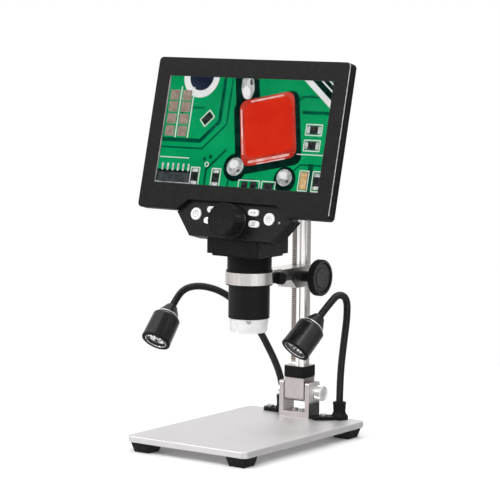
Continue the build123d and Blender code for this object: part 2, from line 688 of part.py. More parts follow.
# ---------------------------------------------------------------- carriage
# One casting: the block that slides on the column, the arm and the split ring.
with BuildPart() as carriage:
    with BuildSketch(Plane.YZ.offset(-ARM_W / 2)):
        block_back = COLUMN_Y + COLUMN_D / 2 + CARRIAGE_BACK
        with BuildLine():
            Polyline(
                (RING_R - ARM_ROOT, ARM_TOP), (block_back, ARM_TOP),
                (block_back, CARRIAGE_BOTTOM), (BLOCK_FRONT, CARRIAGE_BOTTOM),
                (BLOCK_FRONT - STEP_RUN, ARM_BOTTOM), (RING_R - ARM_ROOT, ARM_BOTTOM), close=True,
            )
        make_face()
    extrude(amount=ARM_W)
    fillet(carriage.edges().filter_by(Axis.Z).group_by(Axis.Y)[-1], CARRIAGE_ROUND)
    with BuildSketch(Plane.XY.offset(ARM_BOTTOM)):
        with Locations((0, (RING_R + EAR_END - ARM_ROOT) / 2)):
            Rectangle(EAR_W, EAR_END - RING_R + ARM_ROOT)
    extrude(amount=ring_top - ARM_BOTTOM)
    with BuildSketch(Plane.XY.offset(ring_bottom)):
        Circle(RING_R)
    extrude(amount=RING_H)
    with BuildSketch(Plane.XY.offset(ARM_BOTTOM)):
        Circle(ring_bore)
        with Locations((0, SLIT_END / 2)):
            Rectangle(SLIT_W, SLIT_END)
    extrude(amount=ring_top - ARM_BOTTOM, mode=Mode.SUBTRACT)
    with BuildSketch(Plane.XY.offset(ARM_BOTTOM)):
        Circle(LINER_LIP_R + SEAT)
    extrude(amount=ring_bottom - ARM_BOTTOM, mode=Mode.SUBTRACT)
    with BuildSketch(Plane.XY.offset(CARRIAGE_BOTTOM)):
        with Locations((0, COLUMN_Y)):
            Rectangle(COLUMN_W + 2 * SEAT, COLUMN_D + 2 * SEAT)
    extrude(amount=ARM_TOP - CARRIAGE_BOTTOM, mode=Mode.SUBTRACT)
    with BuildSketch(Plane.YZ.offset(-EAR_W / 2)):
        with Locations((CLAMP_Y, CLAMP_Z)):
            Circle(CLAMP_R + RUN)
    extrude(amount=EAR_W, mode=Mode.SUBTRACT)
    with BuildSketch(Plane.YZ.offset(-ARM_W / 2)):
        with Locations((pinion_y, PINION_Z)):
            Circle(SHAFT_R + RUN)
    extrude(amount=ARM_W, mode=Mode.SUBTRACT)
    gear_room = MODULE * PINION_TEETH / 2 + addendum + 3 * SLIP
    with BuildSketch(Plane.YZ.offset(-COLUMN_W / 2 - SEAT)):
        with Locations((pinion_y, PINION_Z)):
            Circle(gear_room)
    extrude(amount=RACK_W + 2 * SEAT, mode=Mode.SUBTRACT)
    with BuildSketch(Plane.YZ.offset(ARM_W / 2 - HUB_SPIGOT_L)):
        with Locations((pinion_y, PINION_Z)):
            Circle(HUB_SPIGOT_R + RUN)
    extrude(amount=HUB_SPIGOT_L, mode=Mode.SUBTRACT)
save(carriage.part, "carriage")

# Split plastic liner with a lip at each end, between the ring and the barrel.
with BuildPart() as ring_liner:
    with BuildSketch(Plane.XZ):
        with BuildLine():
            Polyline(
                (BARREL_R + RUN, ring_bottom - LINER_LIP), (LINER_LIP_R, ring_bottom - LINER_LIP),
                (LINER_LIP_R, ring_bottom), (ring_bore - SEAT, ring_bottom),
                (ring_bore - SEAT, ring_top), (LINER_LIP_R, ring_top),
                (LINER_LIP_R, ring_top + LINER_LIP), (BARREL_R + RUN, ring_top + LINER_LIP),
                close=True,
            )
        make_face()
    revolve(axis=Axis.Z)
    with BuildSketch(Plane.XY.offset(ring_bottom - LINER_LIP)):
        with Locations((0, LINER_LIP_R)):
            Rectangle(SLIT_W, LINER_LIP_R)
    extrude(amount=RING_H + 2 * LINER_LIP, mode=Mode.SUBTRACT)
save(ring_liner.part, "ring_liner")

# Bearing hub of the pinion, pushed into the side of the block.
with BuildPart() as pinion_hub:
    with BuildSketch(Plane.YZ.offset(ARM_W / 2 - HUB_SPIGOT_L)):
        with Locations((pinion_y, PINION_Z)):
            Circle(HUB_SPIGOT_R)
    extrude(amount=HUB_SPIGOT_L)
    with BuildSketch(Plane.YZ.offset(ARM_W / 2)):
        with Locations((pinion_y, PINION_Z)):
            Circle(HUB_R)
    extrude(amount=HUB_STEP_X - ARM_W / 2)
    with BuildSketch(Plane.YZ.offset(HUB_STEP_X)):
        with Locations((pinion_y, PINION_Z)):
            Circle(HUB_STEP_R)
    extrude(amount=HUB_END - HUB_STEP_X)
    with BuildSketch(Plane.YZ.offset(ARM_W / 2 - HUB_SPIGOT_L)):
        with Locations((pinion_y, PINION_Z)):
            Circle(SHAFT_R + RUN)
    extrude(amount=HUB_END, mode=Mode.SUBTRACT)
save(pinion_hub.part, "pinion_hub")

# ---------------------------------------------------------------- pinion and coarse wheel
# Steel shaft with the pinion cut on it, in mesh with the rack at rest.
pitch_r = MODULE * PINION_TEETH / 2
wheel_in = HUB_END + SEAT
with BuildPart() as pinion:
    with BuildSketch(Plane.YZ.offset(-ARM_W / 2)):
        with Locations((pinion_y, PINION_Z)):
            Circle(SHAFT_R)
    extrude(amount=wheel_in + WHEEL_T / 2 + ARM_W / 2)
    with BuildSketch(Plane.YZ.offset(-COLUMN_W / 2 + SLIP)):
        root_r = pitch_r - dedendum
        tip_r = pitch_r + addendum - SEAT
        with Locations((pinion_y, PINION_Z)):
            Circle(root_r)
            with PolarLocations(0, PINION_TEETH):
                flank = addendum * tooth_slope + SEAT / 2
                Polygon(
                    (root_r - EDGE, -tooth_half - flank), (pitch_r, -tooth_half),
                    (tip_r, -tooth_half + flank), (tip_r, tooth_half - flank),
                    (pitch_r, tooth_half), (root_r - EDGE, tooth_half + flank),
                    align=None,
                )
    extrude(amount=RACK_W - 2 * SLIP)
save(pinion.part, "pinion")

# Moulded wheel with a fluted rim and a dished face.
with BuildPart() as focus_wheel:
    with BuildSketch(Plane.YZ.offset(wheel_in)):
        with Locations((pinion_y, PINION_Z)):
            fluted_disc(WHEEL_R, WHEEL_FLUTES)
    extrude(amount=WHEEL_T)
    with BuildSketch(Plane.YZ.offset(wheel_in + WHEEL_T)):
        with Locations((pinion_y, PINION_Z)):
            Circle(WHEEL_FACE_R)
    extrude(amount=-WHEEL_DISH, mode=Mode.SUBTRACT)
    with BuildSketch(Plane.YZ.offset(wheel_in)):
        with Locations((pinion_y, PINION_Z)):
            Circle(SHAFT_R)
    extrude(amount=WHEEL_T / 2, mode=Mode.SUBTRACT)
save(focus_wheel.part, "focus_wheel")

# Disc pressed on the middle of the wheel's face.
with BuildPart() as wheel_cap:
    with BuildSketch(Plane.YZ.offset(wheel_in + WHEEL_T - WHEEL_DISH)):
        with Locations((pinion_y, PINION_Z)):
            Circle(WHEEL_CAP_R)
    extrude(amount=WHEEL_DISH)
    chamfer(wheel_cap.faces().sort_by(Axis.X)[-1].edges(), EDGE)
save(wheel_cap.part, "wheel_cap")

# ---------------------------------------------------------------- ring clamp screw
clamp_in = EAR_W / 2 + SEAT
with BuildPart() as clamp_screw:
    with BuildSketch(Plane.YZ.offset(-EAR_W / 2)):
        with Locations((CLAMP_Y, CLAMP_Z)):
            Circle(CLAMP_R)
    extrude(amount=EAR_W / 2 + clamp_in + CLAMP_KNOB_L / 2)
save(clamp_screw.part, "clamp_screw")

with BuildPart() as clamp_knob:
    with BuildSketch(Plane.YZ.offset(clamp_in)):
        with Locations((CLAMP_Y, CLAMP_Z)):
            fluted_disc(CLAMP_KNOB_R, CLAMP_FLUTES)
    extrude(amount=CLAMP_KNOB_L)
    with BuildSketch(Plane.YZ.offset(clamp_in)):
        with Locations((CLAMP_Y, CLAMP_Z)):
            Circle(CLAMP_R)
    extrude(amount=CLAMP_KNOB_L / 2, mode=Mode.SUBTRACT)
    with BuildSketch(Plane.YZ.offset(clamp_in + CLAMP_KNOB_L / 2)):
        with Locations((CLAMP_Y, CLAMP_Z)):
            Circle(CLAMP_KNOB_R)
            Circle(CLAMP_GROOVE_R, mode=Mode.SUBTRACT)
    extrude(amount=CLAMP_GROOVE_W / 2, both=True, mode=Mode.SUBTRACT)
save(clamp_knob.part, "clamp_knob")

# ---------------------------------------------------------------- head
# Moulded frame round the view, notched below for the control panel.
with BuildPart() as front_bezel:
    with BuildSketch(screen.offset(-BEZEL_T)):
        RectangleRounded(screen_w, screen_h, SCREEN_CORNER)
    extrude(amount=BEZEL_T)
    fillet(front_bezel.faces().sort_by(Axis.Y)[0].edges(), BEZEL_EDGE)
    with BuildSketch(screen.offset(-BEZEL_T)):
        with Locations((0, VIEW_UP)):
            Rectangle(VIEW_W, VIEW_H)
        Polygon(*panel_outline(), align=None)
    extrude(amount=BEZEL_T, mode=Mode.SUBTRACT)
    with BuildSketch(screen.offset(-BEZEL_T)):
        with Locations((0, VIEW_UP)):
            Rectangle(glass_w + 2 * SEAT, glass_h + 2 * SEAT)
    extrude(amount=BEZEL_T - BEZEL_LIP, mode=Mode.SUBTRACT)
    with BuildSketch(screen.offset(-BEZEL_T)):
        with Locations((0, VIEW_UP)):
            Rectangle(lcd_w + 2 * SEAT, lcd_h + 2 * SEAT)
    extrude(amount=BEZEL_T - BEZEL_LIP - GLASS_T, mode=Mode.SUBTRACT)
save(front_bezel.part, "front_bezel")

# Cover glass behind the lip of the frame.
glass_back = -BEZEL_LIP - GLASS_T
with BuildPart() as display_glass:
    with BuildSketch(screen.offset(glass_back)):
        with Locations((0, VIEW_UP)):
            Rectangle(glass_w, glass_h)
    extrude(amount=GLASS_T)
save(display_glass.part, "display_glass")

# Display module behind the glass.
lcd_back = glass_back - LCD_T
with BuildPart() as lcd_panel:
    with BuildSketch(screen.offset(lcd_back)):
        with Locations((0, VIEW_UP)):
            Rectangle(lcd_w, lcd_h)
    extrude(amount=LCD_T)
save(lcd_panel.part, "lcd_panel")

# Back shell: a rim, a tapered back, the hexagonal body behind the control panel and the
# posts of the two boards.
floor_depth = -SHELL_DEEP + WALL
taper_in = (SHELL_DEEP - RIM_DEEP) * tan(radians(SHELL_TAPER))
rim_inside = RIM_DEEP - WALL * tan(radians(SHELL_TAPER / 2))
room_in = WALL + (-floor_depth - rim_inside) * tan(radians(SHELL_TAPER))
board_back = floor_depth + POST_H
panel_back = panel_face - PANEL_T
switch_top = panel_back - SEAT - BUTTON_FLANGE_T - BUTTON_TRAVEL - SWITCH_GAP
button_board_back = switch_top - SWITCH_T - BOARD_T
with BuildPart() as back_shell:
    with BuildSketch(screen.offset(-RIM_DEEP)):
        RectangleRounded(screen_w, screen_h, SCREEN_CORNER)
    extrude(amount=RIM_DEEP - BEZEL_T)
    with BuildSketch(screen.offset(-RIM_DEEP)):
        RectangleRounded(screen_w, screen_h, SCREEN_CORNER)
    with BuildSketch(screen.offset(-SHELL_DEEP)):
        RectangleRounded(screen_w - 2 * taper_in, screen_h - 2 * taper_in, SCREEN_CORNER)
    loft()
    with BuildSketch(screen.offset(-SHELL_DEEP)):
        Polygon(*panel_outline(), align=None)
    extrude(amount=SHELL_DEEP - BEZEL_T)
    with BuildSketch(screen.offset(-rim_inside)):
        RectangleRounded(screen_w - 2 * WALL, screen_h - 2 * WALL, SCREEN_CORNER - WALL)
    extrude(amount=rim_inside - BEZEL_T, mode=Mode.SUBTRACT)
    with BuildSketch(screen.offset(-rim_inside)):
        RectangleRounded(screen_w - 2 * WALL, screen_h - 2 * WALL, SCREEN_CORNER - WALL)
    with BuildSketch(screen.offset(floor_depth)):
        RectangleRounded(screen_w - 2 * room_in, screen_h - 2 * room_in, SCREEN_CORNER - WALL)
    loft(mode=Mode.SUBTRACT)
    with BuildSketch(screen.offset(floor_depth)):
        Polygon(*panel_outline(WALL), align=None)
    extrude(amount=SHELL_DEEP, mode=Mode.SUBTRACT)
    with BuildSketch(screen.offset(-BEZEL_T - PANEL_T)):
        Polygon(*panel_outline(), align=None)
    extrude(amount=PANEL_T, mode=Mode.SUBTRACT)
    with BuildSketch(screen.offset(floor_depth)):
        with Locations(board_place):
            with GridLocations(board_w - 2 * POST_INSET, board_h - 2 * POST_INSET, 2, 2):
                Circle(POST_R)
    extrude(amount=POST_H)
    with BuildSketch(screen.offset(floor_depth)):
        with Locations((0, panel_side - POST_DROP)):
            with GridLocations(POST_PITCH, 0, 2, 1):
                Circle(POST_R)
    extrude(amount=button_board_back - floor_depth)
    with BuildSketch(screen.offset(floor_depth)):
        with Locations(*housing_screw_places):
            Circle(SCREW_R + BOSS_WALL)
    extrude(amount=HOUSING_SCREW_L - WALL)
    with BuildSketch(screen.offset(-SHELL_DEEP)):
        with Locations(*housing_screw_places):
            Circle(SCREW_R + RUN)
    extrude(amount=HOUSING_SCREW_L, mode=Mode.SUBTRACT)
    with BuildSketch(screen.offset(-SHELL_DEEP)):
        with Locations(*housing_screw_places):
            Circle(SCREW_HEAD_R + SLIP)
    extrude(amount=HEAD_SINK, mode=Mode.SUBTRACT)
    with BuildSketch(screen.offset(port_floor - SLIP)):
        with Locations((-screen_w / 2, INSIDE_UP)):
            Rectangle(2 * (SHELL_DEEP + SLIP), PORT_W + 2 * SLIP)
    extrude(amount=PORT_H + 2 * SLIP, mode=Mode.SUBTRACT)
save(back_shell.part, "back_shell")

# Screws that close the shell, heads sunk in its back.
with BuildPart() as housing_screws:
    with BuildSketch(screen.offset(HEAD_SINK - SHELL_DEEP)):
        with Locations(*housing_screw_places):
            Circle(SCREW_R)
    extrude(amount=HOUSING_SCREW_L - HEAD_SINK)
    with BuildSketch(screen.offset(HEAD_SINK - SHELL_DEEP)):
        with Locations(*housing_screw_places):
            Circle(SCREW_HEAD_R)
    extrude(amount=-HEAD_SINK)
save(housing_screws.part, "housing_screws")

# Control panel: a flat hexagon with holes for the buttons, the knob's shaft and the light.
button_places = {
    "power_button": (-ROUND_BUTTON[0], panel_top - ROUND_BUTTON[1]),
    "shutter_button": (ROUND_BUTTON[0], panel_top - ROUND_BUTTON[1]),
    "upper_left_button": (-UPPER_PILL[0], panel_top - UPPER_PILL[1]),
    "lower_left_button": (-LOWER_PILL[0], panel_top - LOWER_PILL[1]),
    "upper_right_button": (UPPER_PILL[0], panel_top - UPPER_PILL[1]),
    "lower_right_button": (LOWER_PILL[0], panel_top - LOWER_PILL[1]),
}
round_places = [button_places["power_button"], button_places["shutter_button"]]
pill_places = [place for place in button_places.values() if place not in round_places]
with BuildPart() as control_panel:
    with BuildSketch(screen.offset(panel_face - PANEL_T)):
        Polygon(*panel_outline(), align=None)
    extrude(amount=PANEL_T)
    with BuildSketch(screen.offset(panel_face - PANEL_T)):
        with Locations(*round_places):
            Circle(ROUND_BUTTON_R + SLIP)
        with Locations(*pill_places):
            SlotOverall(PILL_W + 2 * SLIP, PILL_H + 2 * SLIP)
        with Locations((0, knob_up)):
            Circle(KNOB_SHAFT_R + RUN)
        with Locations(led_place):
            Circle(LED_R)
    extrude(amount=PANEL_T, mode=Mode.SUBTRACT)
save(control_panel.part, "control_panel")

# Buttons: a cap through the panel and a flange that stops against its back.
for name, place in button_places.items():
    with BuildPart() as button:
        with BuildSketch(screen.offset(panel_back - SEAT)):
            with Locations(place):
                if name in ("power_button", "shutter_button"):
                    Circle(ROUND_BUTTON_R)
                else:
                    SlotOverall(PILL_W, PILL_H)
        extrude(amount=PANEL_T + SEAT + BUTTON_PROUD)
        fillet(button.faces().sort_by(Axis.Y)[0].edges(), BUTTON_EDGE)
        with BuildSketch(screen.offset(panel_back - SEAT)):
            with Locations(place):
                if name in ("power_button", "shutter_button"):
                    Circle(ROUND_BUTTON_R + BUTTON_FLANGE)
                else:
                    SlotOverall(PILL_W + 2 * BUTTON_FLANGE, PILL_H + 2 * BUTTON_FLANGE)
        extrude(amount=-BUTTON_FLANGE_T)
    save(button.part, name)

# Button board with one tact switch behind each button.
with BuildPart() as button_board:
    with BuildSketch(screen.offset(switch_top - SWITCH_T)):
        with Locations(*button_places.values()):
            Rectangle(SWITCH_W, SWITCH_W)
    extrude(amount=SWITCH_T)
    with BuildSketch(screen.offset(switch_top - SWITCH_T)):
        Polygon(*panel_outline(WALL + BOARD_SLACK), align=None)
        with Locations((0, knob_up)):
            Circle(BOARD_HOLE_R, mode=Mode.SUBTRACT)
    extrude(amount=-BOARD_T)
save(button_board.part, "button_board")

# Light pipe of the charge light.
with BuildPart() as indicator_lens:
    with BuildSketch(screen.offset(panel_back)):
        with Locations(led_place):
            Circle(LED_R)
    extrude(amount=PANEL_T + LED_PROUD)
save(indicator_lens.part, "indicator_lens")

# Front focus knob with a tapered, fluted rim.
with BuildPart() as focus_knob:
    with BuildSketch(screen.offset(panel_face + KNOB_GAP)):
        with Locations((0, knob_up)):
            fluted_disc(KNOB_BASE_R, KNOB_FLUTES)
    extrude(amount=KNOB_H, taper=KNOB_TAPER)
    with BuildSketch(screen.offset(panel_face + KNOB_GAP)):
        with Locations((0, knob_up)):
            Circle(KNOB_SHAFT_R)
    extrude(amount=KNOB_H / 2, mode=Mode.SUBTRACT)
save(focus_knob.part, "focus_knob")

# Shaft of the front knob with its retaining collar behind the panel.
with BuildPart() as focus_shaft:
    with BuildSketch(screen.offset(panel_back - SEAT - KNOB_SHAFT_TAIL)):
        with Locations((0, knob_up)):
            Circle(KNOB_SHAFT_R)
    extrude(amount=KNOB_SHAFT_TAIL + SEAT + PANEL_T + KNOB_GAP + KNOB_H / 2)
    with BuildSketch(screen.offset(panel_back - SEAT - KNOB_RING_T)):
        with Locations((0, knob_up)):
            Circle(KNOB_RING_R)
    extrude(amount=KNOB_RING_T)
save(focus_shaft.part, "focus_shaft")

# Main board on its posts, with two chips.
board_face = board_back + BOARD_T
with BuildPart() as main_board:
    with BuildSketch(screen.offset(board_back)):
        with Locations(board_place):
            Rectangle(board_w, board_h)
    extrude(amount=BOARD_T)
    with BuildSketch(screen.offset(board_face)):
        with Locations(board_place):
            with GridLocations(CHIP_PITCH, 0, 2, 1):
                Rectangle(CHIP_W, CHIP_W)
    extrude(amount=CHIP_T)
save(main_board.part, "main_board")

# Charging socket at the edge of the main board, a folded steel box open to the side.
with BuildPart() as charge_socket:
    with BuildSketch(screen.offset(port_floor)):
        with Locations((-screen_w / 2 + PORT_IN + PORT_L / 2, INSIDE_UP)):
            Rectangle(PORT_L, PORT_W)
    extrude(amount=PORT_H)
    with BuildSketch(screen.offset(port_floor + PORT_WALL)):
        with Locations((-screen_w / 2 + PORT_IN + PORT_L / 2 - PORT_WALL, INSIDE_UP)):
            Rectangle(PORT_L, PORT_W - 2 * PORT_WALL)
    extrude(amount=PORT_H - 2 * PORT_WALL, mode=Mode.SUBTRACT)
save(charge_socket.part, "charge_socket")

# Flat cell beside the board.
with BuildPart() as battery:
    with BuildSketch(screen.offset(floor_depth)):
        with Locations(battery_place):
            RectangleRounded(battery_w, battery_h, BATTERY_EDGE)
    extrude(amount=BATTERY_T)
    fillet(battery.faces().sort_by(Axis.Y)[0].edges(), BATTERY_EDGE / 2)
save(battery.part, "battery")

# Optics housing under and behind the hexagonal body, stepped at its foot and hollow.
shoulder_z = HOUSING_BOTTOM + HOUSING_STEP_H
room_floor = shoulder_z + WALL
slope_drop = 2 * HOUSING_SLOPE
with BuildPart() as lower_housing:
    with BuildSketch(Plane.YZ.offset(-HOUSING_W / 2)):
        lean = radians(TILT)
        under = (SCREEN_Y + panel_bottom * sin(lean) - HOUSING_FRONT) / cos(lean)
        with BuildLine():
            Polyline(
                (HOUSING_FRONT, shoulder_z), on_side(panel_bottom, under),
                on_side(panel_bottom, -SHELL_DEEP), at_height(HOUSING_TOP, -SHELL_DEEP),
                (HOUSING_BACK - HOUSING_SLOPE, HOUSING_TOP),
                (HOUSING_BACK, HOUSING_TOP - slope_drop),
                (HOUSING_BACK, shoulder_z), close=True,
            )
        make_face()
    extrude(amount=HOUSING_W)
    fillet(lower_housing.edges().filter_by(Axis.Z), HOUSING_ROUND)
    with BuildSketch(Plane.XY.offset(shoulder_z)):
        with Locations((0, (HOUSING_FRONT + HOUSING_BACK) / 2)):
            RectangleRounded(
                HOUSING_W - 2 * HOUSING_STEP_IN,
                HOUSING_BACK - HOUSING_FRONT - 2 * HOUSING_STEP_IN, HOUSING_ROUND,
            )
    extrude(amount=-HOUSING_STEP_H, taper=HOUSING_STEP_TAPER)
    with BuildSketch(Plane.YZ.offset(WALL - HOUSING_W / 2)):
        with BuildLine():
            Polyline(
                (HOUSING_FRONT + WALL, room_floor), (HOUSING_FRONT + WALL, HOUSING_ROOF),
                at_height(HOUSING_ROOF, -SHELL_DEEP - WALL),
                at_height(HOUSING_TOP - WALL, -SHELL_DEEP - WALL),
                (HOUSING_BACK - HOUSING_SLOPE - WALL / 2, HOUSING_TOP - WALL),
                (HOUSING_BACK - WALL, HOUSING_TOP - slope_drop - WALL / 4),
                (HOUSING_BACK - WALL, room_floor), close=True,
            )
        make_face()
    extrude(amount=HOUSING_W - 2 * WALL, mode=Mode.SUBTRACT)
    with BuildSketch(Plane.XY.offset(HOUSING_BOTTOM)):
        Circle(NECK_R)
    extrude(amount=HOUSING_STEP_H + WALL, mode=Mode.SUBTRACT)
save(lower_housing.part, "lower_housing")

# Barrel: grip band, waist held by the ring, and a bore for the lens carrier.
grip_bottom = ring_top + LINER_LIP + SEAT
with BuildPart() as barrel:
    with BuildSketch(Plane.XZ):
        with BuildLine():
            Polyline(
                (BARREL_BORE, BARREL_BOTTOM), (BARREL_R, BARREL_BOTTOM),
                (BARREL_R, grip_bottom), (GRIP_R, grip_bottom),
                (GRIP_R, HOUSING_BOTTOM), (NECK_R, HOUSING_BOTTOM),
                (NECK_R, BARREL_TOP), (UPPER_BORE, BARREL_TOP),
                (UPPER_BORE, BORE_TOP), (BARREL_BORE, BORE_TOP), close=True,
            )
        make_face()
    revolve(axis=Axis.Z)
save(barrel.part, "barrel")

# Sensor board on top of the barrel.
with BuildPart() as camera_board:
    with BuildSketch(Plane.XY.offset(BARREL_TOP)):
        Circle(NECK_R)
    extrude(amount=BOARD_T)
    with BuildSketch(Plane.XY.offset(BARREL_TOP)):
        Rectangle(SENSOR_W, SENSOR_D)
    extrude(amount=-SENSOR_H)
save(camera_board.part, "camera_board")

# Ring board with the lights round the objective.
with BuildPart() as led_board:
    with BuildSketch(Plane.XY.offset(BARREL_BOTTOM)):
        Circle(BARREL_BORE - SEAT)
        Circle(CAP_WINDOW_R, mode=Mode.SUBTRACT)
    extrude(amount=LED_BOARD_H)
    with BuildSketch(Plane.XY.offset(BARREL_BOTTOM)):
        with PolarLocations(LED_CIRCLE_R, LED_COUNT):
            Rectangle(LED_CHIP, LED_CHIP)
    extrude(amount=-LED_CHIP_T)
save(led_board.part, "led_board")

# Diffuser cap: a tapered cup with a window in its floor.
with BuildPart() as diffuser_cap:
    cap_bottom = BARREL_BOTTOM - CAP_H
    with BuildSketch(Plane.XZ):
        with BuildLine():
            Polyline(
                (CAP_WINDOW_R, cap_bottom), (CAP_TIP_R, cap_bottom),
                (CAP_R, BARREL_BOTTOM), (CAP_R - CAP_WALL, BARREL_BOTTOM),
                (CAP_TIP_R - CAP_WALL, cap_bottom + CAP_WALL),
                (CAP_WINDOW_R, cap_bottom + CAP_WALL), close=True,
            )
        make_face()
    revolve(axis=Axis.Z)
    fillet(diffuser_cap.edges().group_by(Axis.Z)[0].sort_by(SortBy.RADIUS)[-1], CAP_TIP_ROUND)
save(diffuser_cap.part, "diffuser_cap")

# Lens carrier, which slides in the barrel's bore, and its lens.
lens_seat = CARRIER_BOTTOM + CARRIER_FLOOR
with BuildPart() as lens_carrier:
    with BuildSketch(Plane.XZ):
        with BuildLine():
            Polyline(
                (LENS_R - CARRIER_LIP, CARRIER_BOTTOM), (BARREL_BORE - RUN, CARRIER_BOTTOM),
                (BARREL_BORE - RUN, CARRIER_BOTTOM + CARRIER_H),
                (LENS_R, CARRIER_BOTTOM + CARRIER_H), (LENS_R, lens_seat),
                (LENS_R - CARRIER_LIP, lens_seat), close=True,
            )
        make_face()
    revolve(axis=Axis.Z)
save(lens_carrier.part, "lens_carrier")

with BuildPart() as lens:
    with BuildSketch(Plane.XY.offset(lens_seat)):
        Circle(LENS_R)
    extrude(amount=LENS_T)
save(lens.part, "lens")

# ---------------------------------------------------------------- lamps
for side, foot_x, at, aim, route in (
    ("left", LEFT_FOOT[0], LEFT_LAMP, LEFT_AIM, LEFT_ROUTE),
    ("right", RIGHT_FOOT[0], RIGHT_LAMP, RIGHT_AIM, RIGHT_ROUTE),
):
    direction = Vector(*aim).normalized()
    back = Vector(*at)
    profile_plane = along(at, aim)
    turning = Axis(at, tuple(direction))

    # Neck: flexible tube from the foot's collar to the boot.
    start = Vector(foot_x, lamp_foot_y, NECK_START)
    boot_end = back - direction * (LAMP_BOOT_L - LAMP_SOCKET)
    lead = back - direction * (LAMP_BOOT_L + NECK_LEAD)
    points = [start, start + Vector(0, 0, NECK_FIRST - NECK_START)]
    points += [Vector(*p) for p in route] + [lead, boot_end]
    runs = [b - a for a, b in zip(points, points[1:])]
    radii = []
    for before, after in zip(runs, runs[1:]):
        turn = radians(before.get_angle(after))
        radii.append(NECK_BEND * min(before.length, after.length) / tan(turn / 2))
    print(side, "neck radii", [round(r, 1) for r in radii])
    with BuildPart() as lamp_neck:
        with BuildLine() as path:
            FilletPolyline(*points, radius=radii)
        with BuildSketch(Plane(origin=start, z_dir=(0, 0, 1))):
            Circle(NECK_TUBE_R)
        sweep(path=path.wires()[0])
    print(side, "neck length", round(path.wires()[0].length, 1))
    save(lamp_neck.part, f"lamp_neck_{side}")

    # Boot: rubber cone between the neck and the shell.
    with BuildPart() as lamp_boot:
        with BuildSketch(profile_plane):
            with BuildLine():
                Polyline(
                    (0, 0), (LAMP_BOOT_R, 0), (LAMP_BOOT_R, -LAMP_BOOT_BAND),
                    (LAMP_BOOT_TIP_R, -LAMP_BOOT_L), (NECK_TUBE_R, -LAMP_BOOT_L),
                    (NECK_TUBE_R, -LAMP_BOOT_L + LAMP_SOCKET),
                    (0, -LAMP_BOOT_L + LAMP_SOCKET), close=True,
                )
            make_face()
        revolve(axis=turning)
    save(lamp_boot.part, f"lamp_boot_{side}")

    # Shell: turned cup with a shoulder behind and an inward lip in front.
    with BuildPart() as lamp_shell:
        with BuildSketch(profile_plane):
            with BuildLine():
                inside = LAMP_R - LAMP_WALL
                lip_back = LAMP_L - LAMP_LIP_T
                seat = lip_back - LENS_DISC_T
                deep = LAMP_L - REFLECTOR_L - REFLECTOR_GAP
                Polyline(
                    (0, 0), (LAMP_SHOULDER_R, 0), (LAMP_BACK_R, LAMP_SHOULDER),
                    (LAMP_R, LAMP_L), (LAMP_R - LAMP_LIP, LAMP_L),
                    (LAMP_R - LAMP_LIP, lip_back), (inside, lip_back),
                    (inside, seat), (inside - LAMP_DRAFT, deep),
                    (0, deep), close=True,
                )
            make_face()
        revolve(axis=turning)
    save(lamp_shell.part, f"lamp_shell_{side}")

    # Reflector: thin cone with a flange that the lens holds down.
    with BuildPart() as lamp_reflector:
        with BuildSketch(profile_plane):
            with BuildLine():
                rim = inside - REFLECTOR_SLACK
                floor = deep + REFLECTOR_FLOOR
                Polyline(
                    (0, deep), (REFLECTOR_BACK_R, deep), (rim, seat - REFLECTOR_T),
                    (rim, seat), (rim - REFLECTOR_RIM, seat),
                    (REFLECTOR_BACK_R - REFLECTOR_FLOOR, floor), (0, floor), close=True,
                )
            make_face()
        revolve(axis=turning)
    save(lamp_reflector.part, f"lamp_reflector_{side}")

    # Lens: clear disc behind the shell's lip.
    with BuildPart() as lamp_lens:
        with BuildSketch(profile_plane):
            with Locations((0, lip_back - LENS_DISC_T / 2)):
                Rectangle(2 * inside, LENS_DISC_T)
            split(bisect_by=Plane.YZ, keep=Keep.TOP)
        revolve(axis=turning)
    save(lamp_lens.part, f"lamp_lens_{side}")
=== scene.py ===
"""Looks of the LCD digital microscope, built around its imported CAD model."""

from math import atan2, cos, pi, radians, sin

import bpy
from mathutils import Euler, Matrix, Vector


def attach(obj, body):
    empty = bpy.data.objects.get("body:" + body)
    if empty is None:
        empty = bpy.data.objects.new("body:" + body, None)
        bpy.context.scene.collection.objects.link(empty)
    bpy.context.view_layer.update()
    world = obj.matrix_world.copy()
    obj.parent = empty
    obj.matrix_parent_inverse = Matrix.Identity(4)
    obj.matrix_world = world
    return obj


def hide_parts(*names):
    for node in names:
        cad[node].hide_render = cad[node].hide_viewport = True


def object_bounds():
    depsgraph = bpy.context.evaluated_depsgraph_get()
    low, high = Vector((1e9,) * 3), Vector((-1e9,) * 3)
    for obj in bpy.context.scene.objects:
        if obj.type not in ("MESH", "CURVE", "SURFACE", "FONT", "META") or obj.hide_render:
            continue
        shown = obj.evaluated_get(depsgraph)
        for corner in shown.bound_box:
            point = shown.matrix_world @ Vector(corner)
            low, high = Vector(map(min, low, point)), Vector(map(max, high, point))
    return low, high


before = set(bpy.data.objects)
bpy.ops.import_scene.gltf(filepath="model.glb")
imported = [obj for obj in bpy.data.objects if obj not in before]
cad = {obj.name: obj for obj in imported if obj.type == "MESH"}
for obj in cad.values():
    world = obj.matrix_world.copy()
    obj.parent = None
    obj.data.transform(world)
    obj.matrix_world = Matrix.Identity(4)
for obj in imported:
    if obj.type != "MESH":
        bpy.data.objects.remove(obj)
cad_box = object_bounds()
MM = 0.001

